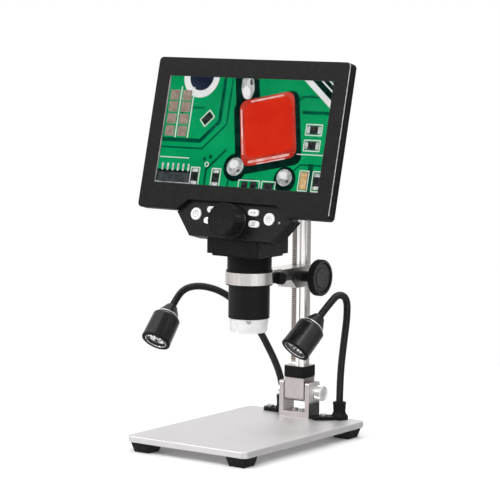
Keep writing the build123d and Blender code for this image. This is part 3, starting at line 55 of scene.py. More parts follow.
# ---------------------------------------------------------------- camera
# A long lens 1.8 metres away, a little above the screen and round to its right, so that the
# lines of the microscope hardly run together.
CAMERA_PLACE = (1.02003, -1.45135, 0.33701)
CAMERA_AROUND = 35.0916   # degrees round from straight in front, down and over
CAMERA_DROP = 6.3232
CAMERA_ROLL = 0.6283
camera_data = bpy.data.cameras.new("camera")
camera_data.lens = 166.12
camera_data.sensor_width = 36.0
camera_data.clip_end = 40.0
camera = bpy.data.objects.new("camera", camera_data)
bpy.context.scene.collection.objects.link(camera)
camera_turn = Euler((radians(90 - CAMERA_DROP), 0, radians(CAMERA_AROUND))).to_matrix()
camera_turn = camera_turn @ Matrix.Rotation(radians(CAMERA_ROLL), 3, "Z")
camera.matrix_world = Matrix.Translation(CAMERA_PLACE) @ camera_turn.to_4x4()
bpy.context.scene.camera = camera
bpy.context.scene.view_settings.view_transform = "Standard"

# ---------------------------------------------------------------- studio
# White floor and backdrop under soft boxes: a broad key from the left, a fill from the right
# and a top light.  Round the horizon stand bright and dark cards, which only metal and gloss
# reflect.
FLOOR_SIZE = 14.0
FLOOR_SHADE = (0.93, 0.93, 0.93, 1)
FLOOR_WHITE_FROM = 0.1    # metres from the middle where the floor starts to turn plain white
FLOOR_WHITE_AT = 0.5
SKY_STRENGTH = 0.4


def new_node(tree, kind, values=None):
    """Adds a shader node of a kind, with values for some of its inputs."""
    added = tree.nodes.new(f"ShaderNode{kind}")
    for socket, value in (values or {}).items():
        added.inputs[socket].default_value = value
    return added


def seen_directly(tree):
    """A factor of 1 for camera and transmission rays, and 0 for the others."""
    path = new_node(tree, "LightPath")
    either = new_node(tree, "Math")
    either.operation = "MAXIMUM"
    tree.links.new(path.outputs["Is Camera Ray"], either.inputs[0])
    tree.links.new(path.outputs["Is Transmission Ray"], either.inputs[1])
    return either.outputs[0]


# Brightness of the cards, as shares of the brightest, by degrees round from +X toward +Y.
CARD_GAIN = 1.4
CARDS = (
    (-180, 0.55), (-150, 0.9), (-112, 0.92), (-88, 0.62), (-62, 0.6), (-40, 0.8), (-18, 0.85),
    (8, 0.6), (36, 0.3), (68, 0.24), (86, 0.6), (104, 0.8), (134, 0.8), (150, 0.45), (180, 0.55),
)

world = bpy.data.worlds.new("studio")
world.use_nodes = True
bpy.context.scene.world = world
sky = world.node_tree
sky.nodes.clear()
sky_out = new_node(sky, "OutputWorld")
sky_mix = new_node(sky, "MixShader")
card_mix = new_node(sky, "MixShader")
sky_light = new_node(sky, "Background", {"Strength": SKY_STRENGTH})
sky_white = new_node(sky, "Background", {"Color": (1, 1, 1, 1), "Strength": 1.0})
around = new_node(sky, "TexGradient")
around.gradient_type = "RADIAL"
sky_coords = new_node(sky, "TexCoord")
card_ramp = new_node(sky, "ValToRGB")
stops = card_ramp.color_ramp.elements
while len(stops) < len(CARDS):
    stops.new(0.5)
for stop, (degrees_round, share) in zip(stops, CARDS):
    stop.position = degrees_round / 360 + 0.5
    stop.color = (share, share * 0.99, share * 0.985, 1)
sky_cards = new_node(sky, "Background", {"Strength": CARD_GAIN})
sky_path = new_node(sky, "LightPath")
sky.links.new(sky_coords.outputs["Generated"], around.inputs["Vector"])
sky.links.new(around.outputs["Fac"], card_ramp.inputs["Fac"])
sky.links.new(card_ramp.outputs["Color"], sky_cards.inputs["Color"])
sky.links.new(sky_path.outputs["Is Glossy Ray"], card_mix.inputs["Fac"])
sky.links.new(sky_light.outputs[0], card_mix.inputs[1])
sky.links.new(sky_cards.outputs[0], card_mix.inputs[2])
sky.links.new(seen_directly(sky), sky_mix.inputs["Fac"])
sky.links.new(card_mix.outputs[0], sky_mix.inputs[1])
sky.links.new(sky_white.outputs[0], sky_mix.inputs[2])
sky.links.new(sky_mix.outputs[0], sky_out.inputs["Surface"])

bpy.ops.mesh.primitive_plane_add(size=FLOOR_SIZE, location=(0, 0, cad_box[0].z))
floor = bpy.context.object
floor.name = "floor"
floor_paint = bpy.data.materials.new("floor_paint")
floor_paint.use_nodes = True
paint = floor_paint.node_tree
paint.nodes.clear()
paint_out = new_node(paint, "OutputMaterial")
matt = new_node(paint, "BsdfDiffuse", {"Color": FLOOR_SHADE})
glow = new_node(paint, "Emission")
blend = new_node(paint, "MixShader")
away = new_node(paint, "MapRange", {"From Min": FLOOR_WHITE_FROM, "From Max": FLOOR_WHITE_AT})
reach = new_node(paint, "VectorMath")
reach.operation = "LENGTH"
floor_coords = new_node(paint, "TexCoord")
lift = new_node(paint, "Math")
lift.operation = "MULTIPLY"
paint.links.new(floor_coords.outputs["Object"], reach.inputs[0])
paint.links.new(reach.outputs["Value"], away.inputs["Value"])
paint.links.new(seen_directly(paint), lift.inputs[0])
paint.links.new(away.outputs["Result"], lift.inputs[1])
paint.links.new(lift.outputs[0], blend.inputs["Fac"])
paint.links.new(matt.outputs[0], blend.inputs[1])
paint.links.new(glow.outputs[0], blend.inputs[2])
paint.links.new(blend.outputs[0], paint_out.inputs["Surface"])
floor.data.materials.append(floor_paint)
floor.visible_glossy = False

# Each soft box: its place and side in metres, and its power in watts.
SOFT_BOXES = {
    "key_light": ((-1.1, -1.5, 1.5), 1.3, 33),
    "fill_light": ((1.15, -1.2, 1.4), 0.8, 19),
    "top_light": ((0.1, 0.4, 1.9), 1.6, 25),
}
LIGHT_TARGET = Vector((0, 0, 0.14))
for name, (place, size, power) in SOFT_BOXES.items():
    light_data = bpy.data.lights.new(name, "AREA")
    light_data.shape = "SQUARE"
    light_data.size = size
    light_data.energy = power
    light = bpy.data.objects.new(name, light_data)
    bpy.context.scene.collection.objects.link(light)
    light.location = place
    light.rotation_euler = (LIGHT_TARGET - Vector(place)).to_track_quat("-Z", "Y").to_euler()

# ---------------------------------------------------------------- stage plate
# Plate of 5 mm aluminium, blasted and anodised silver, with a rounded top edge.  Its corners
# are round too, and the feet are screwed to it from below.
PLATE_SILVER = (0.57, 0.56, 0.563)
PLATE_GREY = (0.53, 0.518, 0.522)
NOISE_SPAN = (0.35, 0.65)   # most of a noise's values lie between these
WELD = 0.002 * MM           # points nearer than this are one
FLAT_ANGLE = 0.6            # degrees up to which neighbouring faces are made one,
SMOOTH_ANGLE = 28           # up to which they are shaded as one,
CORNER_ANGLE = 30           # and from which their edge is broken


def finish(name, roughness, metallic=0.0, specular=0.5, others=None):
    """A new material; others holds further inputs of its shader by name."""
    material = bpy.data.materials.new(name)
    material.use_nodes = True
    shader = material.node_tree.nodes["Principled BSDF"]
    values = {"Roughness": roughness, "Metallic": metallic, "Specular IOR Level": specular}
    values.update(others or {})
    for socket, value in values.items():
        shader.inputs[socket].default_value = value
    return material


def to_shader(material, output, socket):
    """Leads a node's output into an input of the material's shader."""
    tree = material.node_tree
    tree.links.new(output, tree.nodes["Principled BSDF"].inputs[socket])


def speckle(material, scale, detail, stretch=(1, 1, 1)):
    """Noise on the object's own coordinates; its scale is in features per metre."""
    tree = material.node_tree
    coords = new_node(tree, "TexCoord")
    mapping = new_node(tree, "Mapping", {"Scale": stretch})
    noise = new_node(tree, "TexNoise", {"Scale": scale, "Detail": detail})
    tree.links.new(coords.outputs["Object"], mapping.inputs["Vector"])
    tree.links.new(mapping.outputs["Vector"], noise.inputs["Vector"])
    return noise.outputs["Fac"]


def shade(material, fac, dark, light, socket="Base Color"):
    """Colours a surface between two shades by a factor."""
    tree = material.node_tree
    ramp = new_node(tree, "ValToRGB")
    for stop, position, colour in zip(ramp.color_ramp.elements, NOISE_SPAN, (dark, light)):
        stop.position = position
        stop.color = (*colour, 1)
    tree.links.new(fac, ramp.inputs["Fac"])
    to_shader(material, ramp.outputs["Color"], socket)


def tint(material, grain, dark, light, socket="Base Color"):
    """Colours a surface by a noise, whose grain is its scale, detail and stretch."""
    shade(material, speckle(material, *grain), dark, light, socket)


def gloss(material, grain, low, high):
    """Lets the roughness wander between two values."""
    fac = speckle(material, *grain)
    spread = new_node(material.node_tree, "MapRange", {"To Min": low, "To Max": high})
    material.node_tree.links.new(fac, spread.inputs["Value"])
    to_shader(material, spread.outputs["Result"], "Roughness")


def relief(material, grain, height, strength):
    """Raises a surface by a noise; the height is in millimetres."""
    fac = speckle(material, *grain)
    bump = new_node(material.node_tree, "Bump", {"Distance": height * MM, "Strength": strength})
    material.node_tree.links.new(fac, bump.inputs["Height"])
    to_shader(material, bump.outputs["Normal"], "Normal")


def only(piece):
    """Selects one object and makes it active."""
    bpy.ops.object.select_all(action="DESELECT")
    piece.select_set(True)
    bpy.context.view_layer.objects.active = piece


def eased(name, node, width, body, material, edge_material=None):
    """A copy of a CAD node, which stands for it, with edges broken by that many millimetres."""
    piece = bpy.data.objects.new(name, cad[node].data.copy())
    bpy.context.scene.collection.objects.link(piece)
    piece.data.materials.clear()
    piece.data.materials.append(material)
    only(piece)
    bpy.ops.object.mode_set(mode="EDIT")
    bpy.ops.mesh.select_all(action="SELECT")
    bpy.ops.mesh.customdata_custom_splitnormals_clear()
    bpy.ops.mesh.remove_doubles(threshold=WELD)
    bpy.ops.mesh.dissolve_limited(angle_limit=radians(FLAT_ANGLE))
    bpy.ops.object.mode_set(mode="OBJECT")
    if width:
        edge = piece.modifiers.new("edge", "BEVEL")
        edge.width = width * MM
        edge.segments = 2
        edge.limit_method = "ANGLE"
        edge.angle_limit = radians(CORNER_ANGLE)
        if edge_material:
            piece.data.materials.append(edge_material)
            edge.material = 1
        bpy.ops.object.modifier_apply(modifier="edge")
    bpy.ops.object.shade_smooth_by_angle(angle=radians(SMOOTH_ANGLE))
    weigh = piece.modifiers.new("weigh", "WEIGHTED_NORMAL")
    weigh.keep_sharp = True
    bpy.ops.object.modifier_apply(modifier="weigh")
    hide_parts(node)
    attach(piece, body)
    return piece


plate_finish = finish("blasted_aluminium", 0.42, 0.5)
tint(plate_finish, (900, 6), PLATE_GREY, PLATE_SILVER)
gloss(plate_finish, (60, 4), 0.36, 0.48)
relief(plate_finish, (5200, 2), 0.02, 0.5)
eased("stage_top", "stage_plate", 0, "stand", plate_finish)

# ---------------------------------------------------------------- feet
# Moulded rubber feet, screwed on from below; the rubber is matt with a faint bloom.  The
# screws, nuts and shafts of the whole microscope, dressed here, are of one steel.
rubber = finish("foot_rubber", 0.72, 0, 0.1)
tint(rubber, (420, 5), (0.007, 0.007, 0.0075), (0.016, 0.016, 0.0165))
relief(rubber, (3800, 3), 0.03, 0.6)
eased("rubber_feet", "feet", 0.6, "stand", rubber)


def dress(material, *names):
    """Gives CAD nodes that keep their shape a finish."""
    for name in names:
        cad[name].data.materials.clear()
        cad[name].data.materials.append(material)


screw_steel = finish("screw_steel", 0.3, 1.0)
tint(screw_steel, (1500, 4), (0.32, 0.32, 0.32), (0.50, 0.50, 0.49))
gloss(screw_steel, (700, 4), 0.22, 0.4)
dress(screw_steel, "foot_screws", "housing_screws", "bracket_screws", "lamp_foot_screws",
      "tilt_nut", "focus_shaft", "charge_socket", "clamp_screw", "pinion")

# ---------------------------------------------------------------- bracket and pivot block
# Bracket sawn from drawn aluminium channel and screwed to the plate: satin faces, bright cut
# edges whose brightness is partly a painted highlight, painted light on the inner face of its
# left ear, and a polished right side with a painted reflection that is dark at its foot.  The
# block between its ears is the same stock.
EAR_FOOT = 5            # height over which the left ear's inner face has painted light
RIGHT_SIDE_X = 12       # the right side lies out from here
SIDE_DARK_TO = 8        # and its painted reflection turns from dark to light between these heights
SIDE_LIGHT_FROM = 18
TO_RIGHT = 0.9          # a face with more than this of X in its normal looks to the right


def also(piece, material, test):
    """Gives faces a finish of their own by their middle, in millimetres, and normal."""
    piece.data.materials.append(material)
    slot = len(piece.data.materials) - 1
    for face in piece.data.polygons:
        if test(face.center / MM, face.normal):
            face.material_index = slot


satin_silver = finish("satin_silver", 0.4, 1.0)
tint(satin_silver, (240, 5, (1, 1, 0.3)), (0.415, 0.378, 0.378), (0.455, 0.418, 0.418))
gloss(satin_silver, (900, 4, (1, 1, 0.2)), 0.34, 0.44)
relief(satin_silver, (3000, 2, (1, 1, 0.04)), 0.01, 0.35)
# Bevel faces in bare cut metal, brighter than the satin faces; the brightness is partly a painted
# edge highlight.
cut_edge_highlight = finish("cut_edge_highlight", 0.3, 0.85)
tint(cut_edge_highlight, (1200, 4), (0.80, 0.78, 0.77), (0.92, 0.90, 0.89))
gloss(cut_edge_highlight, (900, 4), 0.22, 0.36)
bracket = eased("channel_bracket", "bracket", 0.35, "stand", satin_silver, cut_edge_highlight)

# Painted light: the inner face of the left ear is painted pale.
ear_inside_painted_light = finish("ear_inside_painted_light", 0.5, 0.3)
tint(ear_inside_painted_light, (900, 4), (0.60, 0.555, 0.555), (0.68, 0.635, 0.63))
also(bracket, ear_inside_painted_light,
     lambda middle, normal: normal.x > TO_RIGHT and middle.x < 0 and middle.z > EAR_FOOT)

# Painted reflection on the polished right side: dark at its foot, turning light higher up.
side_painted_reflection = finish("side_painted_reflection", 0.24, 0.3)
polish = side_painted_reflection.node_tree
side_coords = new_node(polish, "TexCoord")
side_height = new_node(polish, "SeparateXYZ")
side_rise = new_node(
    polish, "MapRange", {"From Min": SIDE_DARK_TO * MM, "From Max": SIDE_LIGHT_FROM * MM}
)
polish.links.new(side_coords.outputs["Object"], side_height.inputs["Vector"])
polish.links.new(side_height.outputs["Z"], side_rise.inputs["Value"])
shade(side_painted_reflection, side_rise.outputs["Result"], (0.06, 0.058, 0.058), (0.66, 0.63, 0.63))
gloss(side_painted_reflection, (900, 4), 0.18, 0.3)
also(bracket, side_painted_reflection,
     lambda middle, normal: normal.x > TO_RIGHT and middle.x > RIGHT_SIDE_X)
eased("tilt_block", "pivot_block", 0.3, "column", satin_silver)

# ---------------------------------------------------------------- tilt screw
# Thumb screw that clamps the pivot: a chromed, knurled head with a sunk face of spun steel,
# turned from bar with its shank, which has a washer that bears on the right ear.
COLUMN_Y = 71.8
THUMB_AT = (17.4, COLUMN_Y, 20.7)
THUMB_RIM = (-0.1, 5.5)     # how far out from THUMB_AT its chromed rim starts and ends
POINTS_A_FLUTE = 4


def pick(piece, test):
    """Selects only the vertices of the piece whose place passes a test, in edit mode."""
    bpy.ops.object.mode_set(mode="OBJECT")
    for part in (piece.data.polygons, piece.data.edges):
        part.foreach_set("select", [False] * len(part))
    piece.data.vertices.foreach_set("select", [bool(test(v.co)) for v in piece.data.vertices])
    bpy.ops.object.mode_set(mode="EDIT")
    bpy.ops.mesh.select_mode(type="VERT")


def turned(name, profile, sides=96, closed=True):
    """A round piece on +Z, drawn up from a disc by its (radius, height) in millimetres."""
    points = [(radius * MM, height * MM) for radius, height in profile]
    radius, height = points[0]
    bpy.ops.object.select_all(action="DESELECT")
    bpy.ops.mesh.primitive_circle_add(
        vertices=sides, radius=radius, fill_type="NGON" if closed else "NOTHING"
    )
    piece = bpy.context.object
    piece.name = name
    bpy.ops.object.mode_set(mode="EDIT")
    bpy.ops.mesh.select_all(action="SELECT")
    bpy.ops.transform.translate(value=(0, 0, height))
    for next_radius, next_height in points[1:]:
        bpy.ops.mesh.extrude_region_move(
            TRANSFORM_OT_translate={"value": (0, 0, next_height - height)}
        )
        ratio = next_radius / radius
        bpy.ops.transform.resize(value=(ratio, ratio, 1), center_override=(0, 0, next_height))
        radius, height = next_radius, next_height
    if closed:
        bpy.ops.mesh.edge_face_add()
    bpy.ops.mesh.select_all(action="SELECT")
    bpy.ops.mesh.normals_make_consistent(inside=False)
    bpy.ops.object.mode_set(mode="OBJECT")
    return piece


def flute(piece, count, depth, low, high):
    """Presses every other pair of points between two heights in by a share of the radius."""
    step = 2 * pi / (count * POINTS_A_FLUTE)
    pick(piece, lambda p: low * MM <= p.z <= high * MM
         and round(atan2(p.y, p.x) / step) % POINTS_A_FLUTE < POINTS_A_FLUTE / 2)
    bpy.ops.transform.resize(value=(1 - depth, 1 - depth, 1), center_override=(0, 0, 0))
    bpy.ops.object.mode_set(mode="OBJECT")


def placed(piece, matrix, angle=SMOOTH_ANGLE):
    """Moves a finished piece to its place, which goes into its mesh."""
    only(piece)
    piece.matrix_world = matrix
    bpy.ops.object.transform_apply(location=True, rotation=True, scale=True)
    bpy.ops.object.shade_smooth_by_angle(angle=radians(angle))
    return piece


def facing(place, aim):
    """Matrix that puts +Z of a turned piece along an aim, from a place in millimetres."""
    turn = Vector(aim).normalized().to_track_quat("Z", "Y").to_matrix().to_4x4()
    return Matrix.Translation(Vector(place) * MM) @ turn


def joined(pieces):
    """Joins pieces to one, which is the first of them."""
    only(pieces[0])
    for piece in pieces[1:]:
        piece.select_set(True)
    if len(pieces) > 1:
        bpy.ops.object.join()
    return pieces[0]


def fitted(piece, body, material, *nodes):
    """Gives a piece its finish and its body, and lets it stand for CAD nodes."""
    piece.data.materials.clear()
    piece.data.materials.append(material)
    if nodes:
        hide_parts(*nodes)
    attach(piece, body)
    return piece


chrome = finish("polished_chrome", 0.16, 1.0)
tint(chrome, (900, 5), (0.34, 0.33, 0.325), (0.52, 0.51, 0.505))
gloss(chrome, (1600, 4), 0.18, 0.3)

thumb = turned("thumb_screw_head", [
    (5.3, 0.0), (5.9, 0.3), (6.15, 0.6), (6.15, 5.5), (5.9, 5.85), (5.4, 6.2), (4.7, 6.2),
    (4.5, 5.95), (4.3, 5.65), (3.2, 5.62), (3.0, 5.75), (2.7, 5.75), (2.5, 5.62), (0.3, 5.65),
], sides=160)
flute(thumb, count=40, depth=0.07, low=0.5, high=5.7)
spun_steel = finish("spun_steel", 0.42, 0.5)
tint(spun_steel, (1300, 4), (0.68, 0.68, 0.675), (0.90, 0.90, 0.89))
gloss(spun_steel, (900, 4), 0.34, 0.5)
placed(thumb, facing(THUMB_AT, (1, 0, 0)))
shank = turned("thumb_screw_shank", [
    (2.5, -36.0), (2.9, -35.6), (2.9, -3.05), (4.6, -3.0), (4.6, -2.2), (3.3, -2.1), (3.3, -0.5),
    (4.4, -0.1), (4.4, 0.3),
], sides=48)
placed(shank, facing(THUMB_AT, (1, 0, 0)))
thumb = joined([thumb, shank])
fitted(thumb, "tilt_screw", chrome, "tilt_screw")
also(thumb, spun_steel,
     lambda middle, normal: not THUMB_RIM[0] < middle.x - THUMB_AT[0] < THUMB_RIM[1])

# ---------------------------------------------------------------- lamp feet
# Moulded plastic feet of the two goosenecks: a flared collar round the tube and a tab that
# a screw holds down on the plate.
moulded_black = finish("moulded_black", 0.46, 0, 0.09)
tint(moulded_black, (300, 5), (0.006, 0.006, 0.0064), (0.0095, 0.0095, 0.0099))
gloss(moulded_black, (500, 4), 0.38, 0.54)
relief(moulded_black, (5200, 3), 0.02, 0.5)
FOOT_X = {"left": -21.5, "right": 33.2}
FOOT_Y = 80.0
for side in FOOT_X:
    eased(f"gooseneck_foot_{side}", f"lamp_foot_{side}", 0.45, "stand", moulded_black)
    collar_rim = turned(f"gooseneck_rim_{side}", [
        (3.0, 12.2), (5.15, 12.2), (5.4, 12.5), (5.4, 13.6), (5.0, 14.1), (2.8, 14.1),
    ], sides=48)
    placed(collar_rim, Matrix.Translation((FOOT_X[side] * MM, FOOT_Y * MM, 0)))
    fitted(collar_rim, "stand", moulded_black)

# ---------------------------------------------------------------- collar
# Black plastic collar clamped round the foot of the column, between two thin plates of
# satin aluminium.
# Each plate: the height of its foot, and what is added to its width and length.
COLLAR_PLATES = {"collar_plate": (31.7, 0.3), "collar_top_plate": (41.45, -0.3)}
PLATE_WIDE = 18.6
PLATE_LONG = 17.1
PLATE_THICK = 0.5
PLATE_EDGE = 0.12
eased("column_collar", "collar", 0.3, "column", moulded_black)
for name, (low, spread) in COLLAR_PLATES.items():
    bpy.ops.object.select_all(action="DESELECT")
    bpy.ops.mesh.primitive_cube_add(size=1)
    plate = bpy.context.object
    plate.name = name
    bpy.ops.object.mode_set(mode="EDIT")
    bpy.ops.mesh.select_all(action="SELECT")
    bpy.ops.transform.resize(
        value=((PLATE_WIDE + spread) * MM, (PLATE_LONG + spread) * MM, PLATE_THICK * MM)
    )
    bpy.ops.transform.translate(value=(0, COLUMN_Y * MM, (low + PLATE_THICK / 2) * MM))
    bpy.ops.mesh.select_all(action="SELECT")
    bpy.ops.mesh.bevel(offset=PLATE_EDGE * MM, segments=1)
    bpy.ops.object.mode_set(mode="OBJECT")
    fitted(plate, "column", satin_silver)

# ---------------------------------------------------------------- column
# Extruded aluminium column with grooves, clear anodised, and the steel rack pressed into its
# step; a black plastic cap closes the top.
drawn_silver = finish("drawn_silver", 0.26, 1.0)
tint(drawn_silver, (700, 5, (1, 1, 0.02)), (0.66, 0.645, 0.635), (0.92, 0.905, 0.90))
gloss(drawn_silver, (1400, 4, (1, 1, 0.015)), 0.12, 0.26)
relief(drawn_silver, (4200, 2, (1, 1, 0.01)), 0.01, 0.3)
eased("column_extrusion", "column", 0.18, "column", drawn_silver)

rack_steel = finish("rack_steel", 0.4, 1.0)
tint(rack_steel, (1100, 5), (0.30, 0.265, 0.25), (0.42, 0.375, 0.355))
gloss(rack_steel, (800, 4), 0.32, 0.5)
dress(rack_steel, "rack")
eased("column_end_cap", "column_cap", 0, "column", moulded_black)

# ---------------------------------------------------------------- carriage
# Die-cast carriage, blasted and anodised silver: block, arm and split ring in one piece, with
# the turned band of the ring brighter than the rest and streaked light and dark by painted
# reflections.
BAND_R = 19.8           # the band's faces lie inside this radius
BAND_LEAN = 0.2         # and have less than this of Z in their normals
cast_silver = finish("cast_silver", 0.34, 1.0)
tint(cast_silver, (500, 6), (0.60, 0.58, 0.57), (0.76, 0.74, 0.73))
gloss(cast_silver, (420, 4), 0.24, 0.42)
relief(cast_silver, (4600, 3), 0.015, 0.45)
carriage = eased("carriage_casting", "carriage", 0.6, "carriage", cast_silver, cut_edge_highlight)

# Painted reflections: light and dark streaks on the turned band of the ring.
band_painted_reflections = finish("turned_band_painted_reflections", 0.28, 1.0)
tint(band_painted_reflections, (105, 3, (1, 1, 0.06)), (0.42, 0.385, 0.37), (0.76, 0.74, 0.73))
gloss(band_painted_reflections, (900, 4), 0.16, 0.32)
also(carriage, band_painted_reflections,
     lambda middle, normal: middle.xy.length < BAND_R and abs(normal.z) < BAND_LEAN)
eased("barrel_liner", "ring_liner", 0.15, "carriage", moulded_black)
eased("pinion_bearing", "pinion_hub", 0.3, "carriage", moulded_black)

# ---------------------------------------------------------------- coarse wheel
# Moulded wheel of the coarse focus: fluted rim, whose inner lip has a painted highlight in
# grey, dished grey face and a raised disc in the middle, pressed on the pinion's shaft.
WHEEL_AT = (20.05, 64.4, 114.6)
GREY_FROM = 5.5         # the lip's painted highlight lies over this height and inside this radius
GREY_R = 13.3
wheel = turned("coarse_wheel", [
    (3.0, 0.0), (13.1, 0.0), (14.1, 0.35), (14.5, 0.9), (14.5, 5.1), (14.1, 5.7), (13.5, 6.0),
    (12.8, 6.0), (12.4, 5.7), (12.15, 4.15), (11.6, 4.05), (5.0, 4.05),
], sides=224)
flute(wheel, count=56, depth=0.03, low=0.6, high=5.4)
fitted(wheel, "pinion", moulded_black, "focus_wheel")

# Grey of the wheel's face; on the inner lip of the rim the same grey is a painted highlight.
grey_face_and_lip_highlight = finish("grey_face_and_lip_highlight", 0.42, 0, 0.2)
tint(grey_face_and_lip_highlight, (420, 5), (0.040, 0.040, 0.042), (0.062, 0.062, 0.064))
gloss(grey_face_and_lip_highlight, (700, 4), 0.32, 0.48)
relief(grey_face_and_lip_highlight, (4200, 3), 0.02, 0.4)
also(wheel, grey_face_and_lip_highlight,
     lambda middle, normal: middle.z > GREY_FROM and middle.xy.length < GREY_R)
placed(wheel, facing(WHEEL_AT, (1, 0, 0)))
wheel_disc = turned("coarse_wheel_disc", [
    (7.6, 4.0), (7.8, 4.6), (7.6, 5.05), (7.0, 5.2), (6.7, 5.05), (6.5, 5.0), (0.4, 5.0),
])
placed(wheel_disc, facing(WHEEL_AT, (1, 0, 0)))
fitted(wheel_disc, "pinion", grey_face_and_lip_highlight, "wheel_cap")
wheel_ring = turned("coarse_wheel_face", [
    (7.7, 3.95), (12.05, 3.95), (12.05, 4.3), (11.7, 4.45), (8.4, 4.45), (8.1, 4.3),
])
placed(wheel_ring, facing(WHEEL_AT, (1, 0, 0)))
fitted(wheel_ring, "pinion", grey_face_and_lip_highlight)

# ---------------------------------------------------------------- ring clamp
# Knurled thumb nut of the screw that draws the split ring tight: two discs on one sleeve,
# moulded in black plastic round the screw's end.
CLAMP_AT = (10.55, 22.6, 117.3)
clamp = turned("clamp_thumb_nut", [
    (2.4, 0.0), (4.3, 0.0), (4.75, 0.35), (4.75, 2.2), (4.3, 2.5), (3.6, 2.6), (3.6, 3.6),
    (4.3, 3.7), (4.75, 4.0), (4.75, 5.6), (4.3, 6.0), (3.5, 6.2), (3.1, 5.9), (0.4, 5.85),
], sides=112)
flute(clamp, count=28, depth=0.06, low=0.3, high=2.3)
flute(clamp, count=28, depth=0.06, low=3.9, high=5.8)
placed(clamp, facing(CLAMP_AT, (1, 0, 0)))
fitted(clamp, "clamp", moulded_black, "clamp_knob")

# ---------------------------------------------------------------- barrel
# Turned aluminium barrel, anodised satin black: a smooth waist below the ring and a grip
# band above it with fine grooves.
satin_black = finish("satin_black", 0.34, 0, 0.12)
tint(satin_black, (260, 5, (1, 1, 4)), (0.0045, 0.0045, 0.0048), (0.0065, 0.0065, 0.0068))
gloss(satin_black, (900, 4, (1, 1, 6)), 0.27, 0.42)
relief(satin_black, (3600, 3), 0.01, 0.4)
TUBE_R = 16.1           # radii and heights of the smooth tube and of the grip
TUBE_LOW = 88.1
GRIP_R = 17.4
GRIP_LOW = 124.95
GRIP_HIGH = 136.55
GROOVES = 8
GROOVE_DEEP = 0.35
FIRST_GROOVE = 125.55
GROOVE_PITCH = (GRIP_HIGH - FIRST_GROOVE - 0.1) / GROOVES


def welded(piece, angle=SMOOTH_ANGLE):
    """Closes a turned piece whose profile ends where it starts."""
    only(piece)
    bpy.ops.object.mode_set(mode="EDIT")
    bpy.ops.mesh.select_all(action="SELECT")
    bpy.ops.mesh.remove_doubles(threshold=0.001 * MM)
    bpy.ops.mesh.normals_make_consistent(inside=False)
    bpy.ops.object.mode_set(mode="OBJECT")
    bpy.ops.object.shade_smooth_by_angle(angle=radians(angle))
    return piece


tube_profile = [
    (TUBE_R, TUBE_LOW), (TUBE_R, GRIP_LOW - 0.04), (GRIP_R - 0.3, GRIP_LOW),
    (GRIP_R, GRIP_LOW + 0.3),
]
for row in range(GROOVES):
    low = FIRST_GROOVE + row * GROOVE_PITCH
    tube_profile += [
        (GRIP_R, low), (GRIP_R - GROOVE_DEEP, low + 0.25 * GROOVE_PITCH),
        (GRIP_R - GROOVE_DEEP, low + 0.4 * GROOVE_PITCH), (GRIP_R, low + 0.65 * GROOVE_PITCH),
    ]
tube_profile += [
    (GRIP_R - 0.1, GRIP_HIGH - 0.1), (GRIP_R - 0.4, GRIP_HIGH), (13.4, GRIP_HIGH),
    (13.2, 141.9), (12.0, 142.0), (11.5, 141.9), (11.5, 118.0), (13.5, 118.0), (13.5, 87.85),
    (15.8, 87.85), (TUBE_R, TUBE_LOW),
]
tube = welded(turned("barrel_tube", tube_profile, sides=128, closed=False), 32)
fitted(tube, "head", satin_black, "barrel")

# ---------------------------------------------------------------- diffuser cap
# Translucent white cap pushed on the barrel, which spreads the light of the lamps inside,
# with a small grey mark near its top edge.
milky = finish("milky_plastic", 0.34, others={
    "Subsurface Weight": 0.2, "Subsurface Radius": (4 * MM, 4 * MM, 4 * MM),
})
tint(milky, (160, 4), (0.69, 0.69, 0.69), (0.76, 0.76, 0.76))
gloss(milky, (500, 4), 0.28, 0.42)
cup = turned("light_cap", [
    (8.0, 76.85), (13.4, 76.8), (13.95, 77.05), (14.2, 77.7), (15.0, 85.6), (15.25, 86.0),
    (15.3, 87.6), (15.0, 87.8), (13.6, 87.8), (12.5, 78.7), (8.0, 78.6), (8.0, 76.85),
], sides=128, closed=False)
fitted(welded(cup, 32), "head", milky, "diffuser_cap")

# A small grey mark, a flat disc near the cap's top edge.
grey_cap_mark = finish("grey_cap_mark", 0.5)
tint(grey_cap_mark, (1500, 3), (0.24, 0.24, 0.245), (0.36, 0.36, 0.365))
MARK_AIM = Vector((0.574, -0.819, 0))
MARK_AT = MARK_AIM * 15.2 + Vector((0, 0, 86.4))
cap_mark = turned(
    "light_cap_mark", [(1.9, -1.2), (2.1, -0.5), (1.9, 0.0), (0.3, 0.08)], sides=32
)
placed(cap_mark, facing(MARK_AT, MARK_AIM))
fitted(cap_mark, "head", grey_cap_mark)

# ---------------------------------------------------------------- optics housing
# Moulded ABS housing under the display, hollow and stepped at its foot, with a fine matt
# texture that the display's frame and shell share, a painted highlight on its bevelled edges,
# and painted light on its two sides, which are a shade lighter.
textured_black = finish("textured_black", 0.5, 0, 0.07)
tint(textured_black, (180, 5), (0.0065, 0.0065, 0.0069), (0.0090, 0.0090, 0.0094))
gloss(textured_black, (620, 4), 0.42, 0.56)
relief(textured_black, (6200, 2), 0.02, 0.6)
# Painted highlight on the bevelled edges of the black mouldings, lighter than their faces.
edge_highlight_black = finish("edge_highlight_black", 0.36, 0, 0.3)
tint(edge_highlight_black, (300, 4), (0.016, 0.016, 0.0163), (0.034, 0.034, 0.0343))
gloss(edge_highlight_black, (500, 4), 0.3, 0.42)
housing = eased("optics_housing", "lower_housing", 0.4, "head", textured_black, edge_highlight_black)
SIDEWAYS = 0.8          # the normals of the two sides have more than this of X
